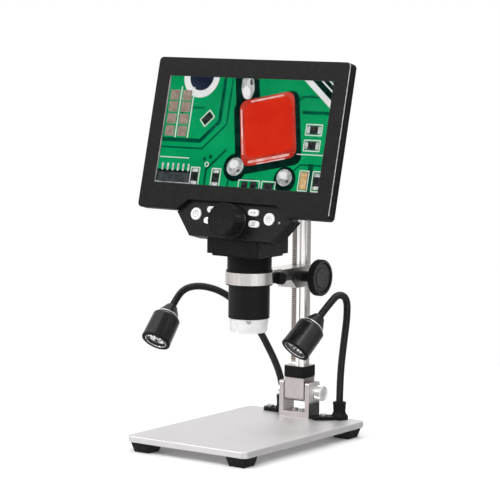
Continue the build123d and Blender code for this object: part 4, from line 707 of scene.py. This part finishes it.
# Painted light on the housing's two sides, a shade lighter than its front.
side_painted_light = finish("side_painted_light", 0.46, 0, 0.1)
tint(side_painted_light, (180, 5), (0.018, 0.018, 0.0185), (0.025, 0.025, 0.0255))
gloss(side_painted_light, (620, 4), 0.4, 0.52)
relief(side_painted_light, (6200, 2), 0.02, 0.6)
also(housing, side_painted_light, lambda middle, normal: abs(normal.x) > SIDEWAYS)

# ---------------------------------------------------------------- display shell and frame
# Two ABS mouldings, screwed together from behind: the shell with its tapered back and a
# painted highlight on its bevelled edges, and the frame round the view, with a painted
# highlight on the slope of its right rim.
eased("shell_moulding", "back_shell", 0.4, "head", textured_black, edge_highlight_black)
display_frame = eased("frame_moulding", "front_bezel", 0.35, "head", textured_black)

# Painted highlight on the slope of the frame's right rim.
rim_painted_highlight = finish("rim_painted_highlight", 0.3, 0, 0.5)
tint(rim_painted_highlight, (420, 4), (0.30, 0.30, 0.30), (0.46, 0.46, 0.46))
gloss(rim_painted_highlight, (300, 4), 0.24, 0.36)
RIM_X = 87.5            # the painted highlight on the rim's slope lies out from here
RIM_Z = 181             # and over this height;
RIM_OUT = (0.3, 0.96)   # its normals have this much of X
RIM_FRONT = -0.25       # and less than this of Y
also(display_frame, rim_painted_highlight, lambda middle, normal: (
    middle.x > RIM_X and middle.z > RIM_Z
    and RIM_OUT[0] < normal.x < RIM_OUT[1] and normal.y < RIM_FRONT
))

# ---------------------------------------------------------------- control panel
# Hexagonal panel under the view, moulded in the same black, a shade smoother than the frame,
# with a painted highlight on its bevelled edges; the buttons, the charge light and the knob
# stand out of its face.
panel_black = finish("panel_black", 0.42, 0, 0.08)
tint(panel_black, (220, 5), (0.0065, 0.0065, 0.0069), (0.0085, 0.0085, 0.0089))
gloss(panel_black, (700, 4), 0.3, 0.46)
relief(panel_black, (5600, 2), 0.01, 0.5)
eased("panel_moulding", "control_panel", 0.35, "head", panel_black, edge_highlight_black)

# ---------------------------------------------------------------- buttons
# Six pale buttons, moulded in one material and printed with plain grey marks; each presses
# on a switch behind the panel.
TILT = radians(13.7)      # how far the screen leans back
SCREEN_AT = Vector((0, -12.5 * MM, 229.2 * MM))
SCREEN_UP = Vector((0, sin(TILT), cos(TILT)))
SCREEN_OUT = Vector((0, -cos(TILT), sin(TILT)))


def on_screen(across, up, out):
    """Matrix of the screen's own axes, moved to a place on it, in millimetres."""
    place = SCREEN_AT + Vector((across * MM, 0, 0))
    place = place + SCREEN_UP * (up * MM) + SCREEN_OUT * (out * MM)
    turn = Matrix((Vector((1, 0, 0)), SCREEN_UP, SCREEN_OUT)).transposed()
    return Matrix.Translation(place) @ turn.to_4x4()


button_white = finish("button_white", 0.36)
tint(button_white, (300, 4), (0.64, 0.64, 0.635), (0.70, 0.70, 0.695))
gloss(button_white, (700, 4), 0.3, 0.42)
PANEL_TOP = -51.6
BUTTONS = {
    "power_button": (-34.3, PANEL_TOP - 10.3),
    "shutter_button": (34.3, PANEL_TOP - 10.3),
    "upper_left_button": (-19.2, PANEL_TOP - 6.2),
    "lower_left_button": (-21.0, PANEL_TOP - 14.8),
    "upper_right_button": (19.2, PANEL_TOP - 6.2),
    "lower_right_button": (21.0, PANEL_TOP - 14.8),
}
for name in BUTTONS:
    eased(f"{name}_cap", name, 0.25, name, button_white)


def box(size, at, turn=0, rounding=0, hole=0):
    """The numbers of a flat bar, or with a hole of a flat frame whose sides are that wide."""
    return (4, size, at, turn, rounding, hole)


def disc(sides, size, at, turn=0, hole=0):
    """The numbers of a flat disc or ring; with three sides it is a pointer."""
    return (sides, size, at, turn, 0, hole)


def flat_shape(sides, size, at, turn, rounding, hole, level, thick):
    """A thin flat shape on the drawing plane, in millimetres: a disc, a bar or a ring."""
    bpy.ops.object.select_all(action="DESELECT")
    if sides == 4:
        bpy.ops.mesh.primitive_plane_add(size=1)
    else:
        bpy.ops.mesh.primitive_circle_add(vertices=sides, radius=0.5, fill_type="NGON")
    shape = bpy.context.object
    bpy.ops.object.mode_set(mode="EDIT")
    bpy.ops.mesh.select_all(action="SELECT")
    bpy.ops.transform.resize(value=(size[0], size[1], 1))
    if rounding:
        bpy.ops.mesh.bevel(offset=rounding, segments=4, affect="VERTICES")
        bpy.ops.mesh.select_all(action="SELECT")
    if hole:
        bpy.ops.mesh.inset(thickness=hole)
        bpy.ops.mesh.delete(type="FACE")
        bpy.ops.mesh.select_all(action="SELECT")
    bpy.ops.mesh.extrude_region_move(TRANSFORM_OT_translate={"value": (0, 0, thick)})
    bpy.ops.mesh.select_all(action="SELECT")
    bpy.ops.mesh.normals_make_consistent(inside=False)
    bpy.ops.object.mode_set(mode="OBJECT")
    shape.matrix_world = Matrix.Translation((*at, level)) @ Matrix.Rotation(radians(turn), 4, "Z")
    bpy.ops.object.transform_apply(location=True, rotation=True, scale=True)
    return shape


def drawn(parts, level, thick):
    """One flat piece made of boxes and discs at the same level."""
    return joined([flat_shape(*part, level, thick) for part in parts])


def laid(name, piece, body, material, place):
    """Lays a flat piece on the screen's plane, or on one along it."""
    piece.name = name
    return fitted(placed(piece, place @ Matrix.Scale(MM, 4)), body, material)


MARK_THICK = 0.04
MARK_LEVEL = -2.99      # the marks lie on the buttons, this far behind the frame's front
MARKS = {
    "power_button": [disc(48, (5.2, 5.2), (0, 0), hole=0.42), box((0.55, 2.7), (0, 1.1))],
    "shutter_button": [disc(48, (5.4, 5.4), (0, 0), hole=0.36),
                       box((2.6, 1.8), (0, -0.1), hole=0.4), box((1.1, 0.5), (0, 1.1))],
    "upper_left_button": [disc(3, (2.4, 2.4), (-1.6, 0), 90), box((2.6, 0.55), (0.9, 0))],
    "lower_left_button": [box((3.2, 0.6), (0, 0)), box((0.6, 3.2), (0, 0))],
    "upper_right_button": [disc(3, (2.4, 2.4), (1.6, 0), -90), box((2.6, 0.55), (-0.9, 0))],
    "lower_right_button": [box((3.4, 0.6), (0, 0)), box((3.4, 0.5), (0, 1.2)),
                           box((3.4, 0.5), (0, -1.2))],
}
mark_ink = finish("mark_ink", 0.45)
tint(mark_ink, (1500, 3), (0.17, 0.17, 0.175), (0.24, 0.24, 0.245))
for name, parts in MARKS.items():
    laid(f"{name}_mark", drawn(parts, 0, MARK_THICK), name, mark_ink,
         on_screen(*BUTTONS[name], MARK_LEVEL))

# ---------------------------------------------------------------- charge light
# Clear blue light pipe at the right end of the panel, pushed into its hole from behind.
# It stays dark here.
light_pipe = finish("light_pipe", 0.2)
tint(light_pipe, (900, 3), (0.16, 0.18, 0.22), (0.26, 0.29, 0.34))
dress(light_pipe, "indicator_lens")

# ---------------------------------------------------------------- focus knob
# Moulded knob of the fine focus, on a shaft through the panel: a flat matt face and a
# tapered skirt with rows of small knurls.
KNOB_AT = on_screen(0, PANEL_TOP - 14.4, -3.7)
KNOB_R = 13.4
KNOB_DRAFT = 0.0524     # how much narrower each millimetre of height makes it
KNURL_ROWS = 4
KNURL_PITCH = 3.05
KNURL_FOOT = 0.9
KNURL_STEPS = ((0.0, -0.5), (0.5, 0.0), (1.9, 0.0), (2.4, -0.5))    # up, and out
SKIRT = (0.6, 13.0)     # heights between which the faces are the skirt's
knob_profile = [(3.0, 0.0), (12.8, 0.0), (13.3, 0.5)]
for row in range(KNURL_ROWS):
    for rise, proud in KNURL_STEPS:
        height = KNURL_FOOT + row * KNURL_PITCH + rise
        knob_profile.append((KNOB_R - height * KNOB_DRAFT + proud, height))
knob_profile += [
    (12.45, 13.1), (12.6, 13.3), (12.55, 13.65), (12.1, 14.0), (11.5, 14.0), (11.1, 13.75),
    (10.8, 13.65), (0.4, 13.65),
]
knob = turned("fine_focus_knob", knob_profile, sides=160)
flute(knob, count=40, depth=0.06, low=1.0, high=12.9)
knob_face = finish("knob_face", 0.55, 0, 0.05)
tint(knob_face, (260, 5), (0.0075, 0.0075, 0.0078), (0.0105, 0.0105, 0.0108))
relief(knob_face, (5200, 3), 0.02, 0.5)
knurl_black = finish("knurl_black", 0.28, 0, 0.3)
tint(knurl_black, (700, 4), (0.004, 0.004, 0.0042), (0.0065, 0.0065, 0.0067))
gloss(knurl_black, (800, 4), 0.22, 0.34)
fitted(knob, "focus", knob_face, "focus_knob")
also(knob, knurl_black, lambda middle, normal: SKIRT[0] < middle.z < SKIRT[1])
placed(knob, KNOB_AT, 26)

# ---------------------------------------------------------------- display picture
# The lit picture: flat shapes on the front of the display module, a magnified green board
# with tracks, pads, chips and one red component.  They lie on each other in thin layers.
VIEW_HALF = (78.6, 44.4)    # half of the picture's width and height
PICTURE_AT = on_screen(0, 2.8, -2.0)
LAYER_THICK = 0.018
PAD_COLUMNS = (-70.5, -58.5)
PAD_ROWS = (-1.0, 8.6, 18.2, 27.4)
CHIP_REACH = 4.9        # from the middle of a chip to the middle of its tinned ends


def lit(name, dark, light, scale, detail=3.0):
    """A glowing colour that wanders a little between two shades."""
    material = finish(name, 0.6, 0, 0, {"Base Color": (0, 0, 0, 1), "Emission Strength": 1.0})
    tint(material, (scale, detail), dark, light, "Emission Color")
    return material


def pictured(name, level, parts, material):
    """Flat shapes of the picture at one level, cut off at the edge of the display."""
    only(drawn(parts, level, LAYER_THICK))
    bpy.ops.object.mode_set(mode="EDIT")
    for axis, half in enumerate(VIEW_HALF):
        for way in (-1, 1):
            normal = [0, 0, 0]
            normal[axis] = way
            bpy.ops.mesh.select_all(action="SELECT")
            bpy.ops.mesh.bisect(
                plane_co=[half * n for n in normal], plane_no=normal,
                use_fill=True, clear_outer=True,
            )
    bpy.ops.object.mode_set(mode="OBJECT")
    laid(name, bpy.context.object, "head", material, PICTURE_AT)


def bar(start, end, width):
    """A straight strip between two points, as the numbers of a flat shape."""
    run = Vector(end) - Vector(start)
    middle = (Vector(start) + Vector(end)) / 2
    turn = atan2(run.y, run.x) * 180 / pi
    return box((run.length + width * 0.5, width), tuple(middle), turn)


pictured("picture_ground", 0.01, [box((157, 88.6), (0, 0))],
         lit("board_green", (0.0, 0.30, 0.095), (0.004, 0.40, 0.135), 26, 5))
pictured("picture_tracks", 0.035, [
    bar((-78, -8), (-40, -8), 3.2), bar((-40, -8), (-24, 8), 3.2), bar((-24, 8), (-24, 44), 3.2),
    bar((-78, -14), (-37, -14), 1.4), bar((-37, -14), (-17, 6), 1.4), bar((-17, 6), (-17, 44), 1.4),
    bar((-30, -44), (-30, -30), 2.0), bar((-30, -30), (-14, -14), 2.0),
    bar((-8, -44), (-8, -36), 1.6), bar((-8, -36), (16, -36), 1.6), bar((16, -36), (24, -44), 1.6),
    bar((50, 30), (78, 30), 1.6), bar((50, 30), (44, 24), 1.6), bar((52, 18), (78, 18), 2.6),
    bar((56, -22), (78, -22), 1.2), bar((56, -22), (46, -32), 1.2), bar((46, -32), (46, -44), 1.2),
    bar((66, -44), (66, -22), 4.5), bar((-66, 8), (-56, 18), 1.2), bar((-56, 18), (-40, 18), 1.2),
    disc(24, (3.2, 3.2), (-33, -22)), disc(24, (3.2, 3.2), (-27.5, -20)),
    disc(24, (3.2, 3.2), (58, 30)), disc(24, (3.2, 3.2), (70, -32)),
], lit("track_green", (0.0, 0.075, 0.040), (0.0, 0.125, 0.060), 90))
pictured("picture_shade", 0.06, [
    box((44, 12), (66, 41), -38), box((60, 58), (22, 1), 12, 7),
    disc(32, (22, 22), (-3, -27)), disc(32, (20, 20), (44, -34)),
    box((22, 30), (-2, 34), 12, 4), box((34, 13), (-60, -38), 0, 1.2),
], lit("shadow_green", (0.001, 0.012, 0.010), (0.003, 0.030, 0.022), 120))
pictured("picture_stripes", 0.085, [
    box((46, 4.6), (60, 37), -38), box((46, 1.2), (66, 42), -38),
    box((46, 1.0), (69, 45), -38),
], lit("stripe_white", (0.80, 0.82, 0.82), (0.98, 0.98, 0.98), 60))
pictured("picture_ring", 0.085, [disc(64, (34, 34), (-47, 43), hole=5.6)],
         lit("ring_white", (0.85, 0.87, 0.86), (1.0, 1.0, 1.0), 40))
pictured("picture_hole", 0.07, [disc(48, (24, 24), (-47, 43))],
         lit("hole_blue", (0.012, 0.018, 0.040), (0.030, 0.045, 0.080), 60))

pads = [box((8.6, 8.2), (column, row), 0, 0.6) for column in PAD_COLUMNS for row in PAD_ROWS]
pictured("picture_pads", 0.09, pads,
         lit("pad_tan", (0.30, 0.225, 0.185), (0.46, 0.36, 0.30), 260, 5))
pictured("picture_prints", 0.09, [
    bar((-64.5, -6), (-64.5, 34), 1.0), bar((-52.5, -6), (-52.5, 34), 1.0),
    box((15, 9), (64, 5), 0, 0.8, 0.75), box((15, 9), (64, -7), 0, 0.8, 0.75),
    box((9, 16), (73, -34), 0, 0.8, 0.75), box((9, 16), (61, -34), 0, 0.8, 0.75),
    box((9, 15), (-40, -36), 0, 0.8, 0.75), box((9, 15), (-20, -36), 0, 0.8, 0.75),
    box((20, 8), (12, -40), 0, 0.8, 0.7), box((13, 8), (30, -40), 0, 0.8, 0.7),
    disc(24, (4.0, 4.0), (-30, -26), hole=0.7), box((12, 8), (-36, 10), 45, 0.8, 0.7),
    bar((-76, -22), (-48, -22), 0.7), bar((52, -14), (76, -14), 0.7),
], lit("print_white", (0.78, 0.84, 0.80), (0.96, 0.98, 0.96), 80))
pictured("picture_chips", 0.115, [
    box((12, 6.2), (64, 5), 0, 0.5), box((12, 6.2), (64, -7), 0, 0.5),
    box((6.2, 13), (73, -34), 0, 0.5), box((6.2, 12.4), (-40, -36), 0, 0.5),
    box((9.4, 5.6), (-36, 10), 45, 0.5), box((6, 5.2), (8, -40), 0, 0.4),
    box((6, 5.2), (16, -40), 0, 0.4), box((9, 5.2), (30, -40), 0, 0.4),
    box((6.2, 12.4), (-20, -36), 0, 0.5),
], lit("chip_black", (0.010, 0.010, 0.012), (0.05, 0.05, 0.055), 420, 5))
ends = []
for x, y in ((64, 5), (64, -7)):
    for way in (-CHIP_REACH, CHIP_REACH):
        ends.append(box((2.6, 5.6), (x + way, y), 0, 0.6))
for x, y in ((73, -34), (-40, -36), (-20, -36)):
    for way in (-CHIP_REACH, CHIP_REACH):
        ends.append(box((5.6, 2.6), (x, y + way), 0, 0.6))
for x in (-72, -67, -62, -57, -52, -47):
    ends.append(box((1.7, 6.0), (x, -29.5), 0, 0.7))
pictured("picture_ends", 0.14, ends,
         lit("tinned_silver", (0.42, 0.43, 0.43), (0.85, 0.86, 0.86), 500, 5))
pictured("picture_resistor", 0.115, [box((6.2, 13), (61, -34), 0, 0.6)],
         lit("resistor_tan", (0.62, 0.36, 0.14), (0.86, 0.62, 0.34), 300, 4))
pictured("picture_plinth", 0.14, [box((31, 9.5), (-60, -38.5), 0, 0.8)],
         lit("chip_grey", (0.035, 0.042, 0.046), (0.075, 0.085, 0.09), 160, 4))

pictured("picture_component", 0.14, [box((50, 52), (22, 4), 12, 7)],
         lit("component_edge", (0.50, 0.030, 0.018), (0.70, 0.075, 0.050), 55, 4))
pictured("picture_component_top", 0.165, [box((43, 42.5), (22.4, 5.4), 12, 5.5)],
         lit("component_red", (0.76, 0.022, 0.006), (0.90, 0.042, 0.012), 30, 4))
pictured("picture_component_gloss", 0.19, [
    box((38, 1.9), (26.6, -18.6), 12, 0.9), box((1.5, 36), (-1.4, 0.6), 12, 0.7),
    box((30, 1.3), (17.6, 27.6), 12, 0.6), box((26, 0.9), (29, -20.6), 12, 0.4),
], lit("component_shine", (0.88, 0.30, 0.26), (1.0, 0.74, 0.70), 180, 4))
pictured("picture_solder", 0.165, [
    disc(28, (15.5, 14), (-3, -26.5), 20), disc(28, (14, 13), (43.5, -32.5), -15),
    disc(28, (12, 20), (-2, 36), 12),
], lit("solder_grey", (0.36, 0.37, 0.37), (0.80, 0.81, 0.81), 240, 6))
pictured("picture_solder_shine", 0.19, [
    disc(24, (8.5, 6.5), (-4.6, -24.6), 20), disc(24, (7.5, 5.5), (42, -30.8), -15),
    disc(24, (7, 10), (-2.6, 31.5), 12),
], lit("solder_white", (0.88, 0.90, 0.90), (1.0, 1.0, 1.0), 120, 4))
pictured("picture_solder_dark", 0.215, [
    disc(20, (3.4, 2.2), (0.2, -29.4), 30), disc(20, (3.0, 2.4), (46.4, -35.2), 10),
    disc(20, (2.6, 5.4), (0.6, 39.6), 12),
], lit("solder_shadow", (0.035, 0.04, 0.04), (0.11, 0.12, 0.12), 200, 4))

# ---------------------------------------------------------------- display glass
# Thin cover glass over the picture.  The edge of its opening in the frame is black, with a
# painted glint in grey at the left and along the foot.
pane_glass = finish("cover_glass", 0.03, 0, 0.05, {"Transmission Weight": 1.0, "IOR": 1.035})
gloss(pane_glass, (120, 4), 0.015, 0.05)
pane = laid("cover_pane", drawn([box((158.0, 89.7), (0, 0), 0, 0.5)], 0.32, 0.76),
            "head", pane_glass, PICTURE_AT)
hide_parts("display_glass")
liner_black = finish("opening_black", 0.4, 0, 0.1)
tint(liner_black, (500, 4), (0.008, 0.008, 0.0082), (0.014, 0.014, 0.0142))
laid("opening_edge", drawn([box((154.1, 85.8), (0, 0), hole=0.55)], 1.12, 0.82),
     "head", liner_black, PICTURE_AT)
# Painted glint: grey strips on the edge of the opening, at the left and along the foot.
opening_glint_paint = finish("opening_painted_glint", 0.4, 0, 0.4)
tint(opening_glint_paint, (120, 5), (0.05, 0.05, 0.051), (0.24, 0.24, 0.242))
glints = [box((0.8, 84.6), (-76.1, 0), 0, 0.3), box((34.0, 0.8), (-59.0, -42.0), 0, 0.3)]
laid("opening_glint", drawn(glints, 1.14, 0.81), "head", opening_glint_paint, PICTURE_AT)

# ---------------------------------------------------------------- hidden pieces
# Boards in green solder mask, a foil cell and a lens in a black carrier, out of sight in the
# head until it is opened, and the plain plastic washers inside the pivot.
solder_mask = finish("solder_mask", 0.4)
tint(solder_mask, (900, 4), (0.010, 0.085, 0.035), (0.018, 0.13, 0.052))
dress(solder_mask, "main_board", "button_board", "camera_board", "led_board")
cell_foil = finish("cell_foil", 0.34, 0.8)
tint(cell_foil, (240, 5), (0.40, 0.41, 0.43), (0.52, 0.53, 0.55))
relief(cell_foil, (380, 4), 0.08, 0.5)
dress(cell_foil, "battery")
natural_plastic = finish("natural_plastic", 0.5)
tint(natural_plastic, (600, 3), (0.62, 0.62, 0.60), (0.72, 0.72, 0.70))
dress(natural_plastic, "friction_washers")
dress(satin_black, "lens_carrier", "lcd_panel")
clear_glass = finish("clear_glass", 0.04, others={"Transmission Weight": 1.0, "IOR": 1.45})
gloss(clear_glass, (300, 4), 0.02, 0.07)
dress(clear_glass, "lens")

# ---------------------------------------------------------------- gooseneck lamps
# Two small lamps on goosenecks: a rubber sleeve with fine ribs over a wound steel core, a
# ribbed boot, a turned black shell, a chromed reflector darkened to a painted shade and
# dimpled where it is deep, the dimples drawn as glowing painted glints, and a clear lens under
# a matt black lip.  A lamp is turned on +Z from the foot of its shell.
LAMPS = {
    "left": ((-102.5, 31.4, 77.0), (0.012, -0.652, -0.758)),
    "right": ((33.0, 40.6, 80.1), (-0.229, -0.658, -0.718)),
}
ROUTES = {
    "left": [(-24.8, 80.2, 30.0), (-29.8, 80.5, 40.0), (-35.2, 79.6, 50.0), (-43.0, 75.0, 67.0),
             (-54.5, 67.8, 84.0), (-68.0, 58.6, 97.0), (-83.0, 48.8, 101.6), (-96.5, 44.6, 98.2)],
    "right": [(33.3, 80.9, 40.0), (35.0, 82.2, 62.0), (37.2, 83.0, 82.0), (38.4, 80.8, 98.0),
              (37.6, 69.0, 102.6), (37.2, 57.6, 96.0)],
}
NECK_ENDS = (14.0, 4.0)     # how far behind its shell the neck is in line with the lamp
NECK_SMOOTH = 60
RIB = 0.62                  # pitch of the neck's ribs
BOOT_RINGS = 5
BOOT_LOW = -8.2
BOOT_PITCH = 1.4
BOOT_WIDE = 4.8
BOOT_FLARE = 0.76           # how much wider each ring is than the one before
LIP_FROM = 24.6             # the shell is matt over this height
DIMPLES_TO = 20.4           # and the bowl has glowing painted glints under this one
sleeve_rubber = finish("sleeve_rubber", 0.3, 0, 0.26)
tint(sleeve_rubber, (340, 5), (0.0045, 0.0045, 0.0048), (0.0085, 0.0085, 0.0088))
gloss(sleeve_rubber, (260, 4), 0.24, 0.36)
shell_black = finish("shell_black", 0.26, 0, 0.45)
tint(shell_black, (300, 5), (0.0045, 0.0045, 0.0048), (0.0075, 0.0075, 0.0078))
gloss(shell_black, (700, 4), 0.2, 0.3)
relief(shell_black, (4200, 3), 0.015, 0.5)
mirror_chrome = finish("mirror_chrome", 0.1, 1.0)
tint(mirror_chrome, (700, 4), (0.72, 0.72, 0.73), (0.88, 0.88, 0.89))
gloss(mirror_chrome, (900, 4), 0.05, 0.16)
# Painted shade: the reflector's chrome darkened inside the lamp.
bowl_painted_shade = finish("bowl_painted_shade", 0.18, 1.0)
tint(bowl_painted_shade, (900, 4), (0.06, 0.06, 0.061), (0.15, 0.15, 0.153))
gloss(bowl_painted_shade, (900, 4), 0.12, 0.26)
# Painted glints: a glowing speckle in the deep part of the reflector, which stands for its dimples.
bowl_painted_glints = finish("bowl_painted_glints", 0.3, 0.2, others={"Emission Strength": 0.8})
tint(bowl_painted_glints, (480, 0), (0.02, 0.02, 0.021), (0.9, 0.9, 0.9))
tint(bowl_painted_glints, (480, 0), (0.0, 0.0, 0.0), (0.9, 0.9, 0.9), "Emission Color")
lamp_glass = finish("lamp_glass", 0.04, 0, 0.2, {"Transmission Weight": 1.0, "IOR": 1.1})
gloss(lamp_glass, (300, 4), 0.02, 0.06)
dress(lamp_glass, "lamp_lens_left", "lamp_lens_right")
phosphor = finish("phosphor_yellow", 0.5)
tint(phosphor, (2600, 3), (0.74, 0.55, 0.10), (0.86, 0.70, 0.22))

for side, (lamp_at, lamp_aim) in LAMPS.items():
    body = f"lamp_{side}"
    aim = Vector(lamp_aim).normalized()
    at = Vector(lamp_at)
    route = [(FOOT_X[side], FOOT_Y, 3.2), (FOOT_X[side], FOOT_Y, 18.0)] + ROUTES[side]
    route += [at - aim * behind for behind in NECK_ENDS]
    line = bpy.data.curves.new(f"gooseneck_line_{side}", "CURVE")
    line.dimensions = "3D"
    line.resolution_u = 16
    spline = line.splines.new("NURBS")
    spline.points.add(len(route) - 1)
    for point, place in zip(spline.points, route):
        point.co = (*(Vector(place) * MM), 1)
    spline.order_u = 3
    spline.use_endpoint_u = True
    guide = bpy.data.objects.new(f"gooseneck_guide_{side}", line)
    bpy.context.scene.collection.objects.link(guide)

    neck = turned(f"gooseneck_{side}", [
        (2.72, 0.0), (2.88, 0.2 * RIB), (2.9, 0.5 * RIB), (2.88, 0.8 * RIB), (2.72, RIB),
    ], sides=28, closed=False)
    placed(neck, facing((0, 0, 0), (1, 0, 0)), NECK_SMOOTH)
    ribs = neck.modifiers.new("ribs", "ARRAY")
    ribs.fit_type = "FIT_CURVE"
    ribs.curve = guide
    ribs.use_relative_offset = False
    ribs.use_constant_offset = True
    ribs.constant_offset_displace = (RIB * MM, 0, 0)
    ribs.use_merge_vertices = True
    ribs.merge_threshold = 0.01 * MM
    follow = neck.modifiers.new("follow", "CURVE")
    follow.object = guide
    follow.deform_axis = "POS_X"
    only(neck)
    bpy.ops.object.modifier_apply(modifier="ribs")
    bpy.ops.object.modifier_apply(modifier="follow")
    bpy.data.objects.remove(guide)
    bpy.ops.object.mode_set(mode="EDIT")
    bpy.ops.mesh.select_all(action="SELECT")
    bpy.ops.mesh.fill_holes(sides=0)
    bpy.ops.mesh.select_all(action="SELECT")
    bpy.ops.mesh.normals_make_consistent(inside=False)
    bpy.ops.object.mode_set(mode="OBJECT")
    bpy.ops.object.shade_smooth_by_angle(angle=radians(NECK_SMOOTH))
    fitted(neck, body, sleeve_rubber, f"lamp_neck_{side}")

    along = facing(at, aim)
    boot_profile = [(3.0, -8.95), (4.3, -8.9), (4.6, -8.6)]
    for ring in range(BOOT_RINGS):
        low = BOOT_LOW + ring * BOOT_PITCH
        wide = BOOT_WIDE + ring * BOOT_FLARE
        boot_profile += [
            (wide, low), (wide + 0.5, low + 0.85), (wide + 0.42, low + 1.05),
            (wide + 0.5, low + 1.2),
        ]
    boot_profile += [(8.75, -0.9), (8.8, -0.6), (8.0, -0.35)]
    boot = turned(f"lamp_sleeve_{side}", boot_profile, sides=64)
    fitted(placed(boot, along, 40), body, sleeve_rubber, f"lamp_boot_{side}")

    joint_ring = turned(f"lamp_joint_ring_{side}", [
        (7.3, -0.6), (8.8, -0.6), (9.05, -0.4), (9.05, 0.0), (8.8, 0.2), (7.3, 0.25),
    ], sides=72)
    fitted(placed(joint_ring, along), body, spun_steel)

    shell = turned(f"lamp_housing_{side}", [
        (7.9, 0.0), (9.0, 0.1), (11.2, 2.3), (11.5, 2.8), (11.6, 3.6), (12.15, 24.5), (12.2, 24.9),
        (12.0, 25.7), (11.5, 26.0), (9.75, 26.0), (9.35, 25.8), (9.15, 25.3), (9.15, 24.9),
        (10.5, 24.85), (10.5, 23.8), (9.95, 12.0),
    ], sides=128)
    fitted(shell, body, shell_black, f"lamp_shell_{side}")
    also(shell, textured_black, lambda middle, normal: middle.z > LIP_FROM)
    placed(shell, along, 32)

    bowl = turned(f"lamp_bowl_{side}", [
        (3.4, 12.05), (4.6, 12.15), (6.8, 14.2), (8.6, 17.1), (9.7, 20.3), (10.15, 23.1),
        (10.15, 23.75), (9.35, 23.75), (8.9, 21.6), (7.9, 18.4), (6.2, 15.6), (4.2, 13.6),
        (2.7, 12.85),
    ], sides=96)
    fitted(bowl, body, bowl_painted_shade, f"lamp_reflector_{side}")
    also(bowl, bowl_painted_glints, lambda middle, normal: middle.z < DIMPLES_TO)
    placed(bowl, along, 50)
    emitter = turned(
        f"lamp_emitter_{side}", [(1.9, 12.9), (1.9, 13.2), (1.5, 13.45), (0.3, 13.55)], sides=24
    )
    fitted(placed(emitter, along, 50), body, phosphor)
    lens_ring = turned(f"lamp_lens_ring_{side}", [
        (9.1, 25.02), (9.1, 25.5), (8.9, 25.6), (8.6, 25.4), (8.55, 25.05), (9.1, 25.02),
    ], sides=96, closed=False)
    fitted(placed(welded(lens_ring), along), body, mirror_chrome)
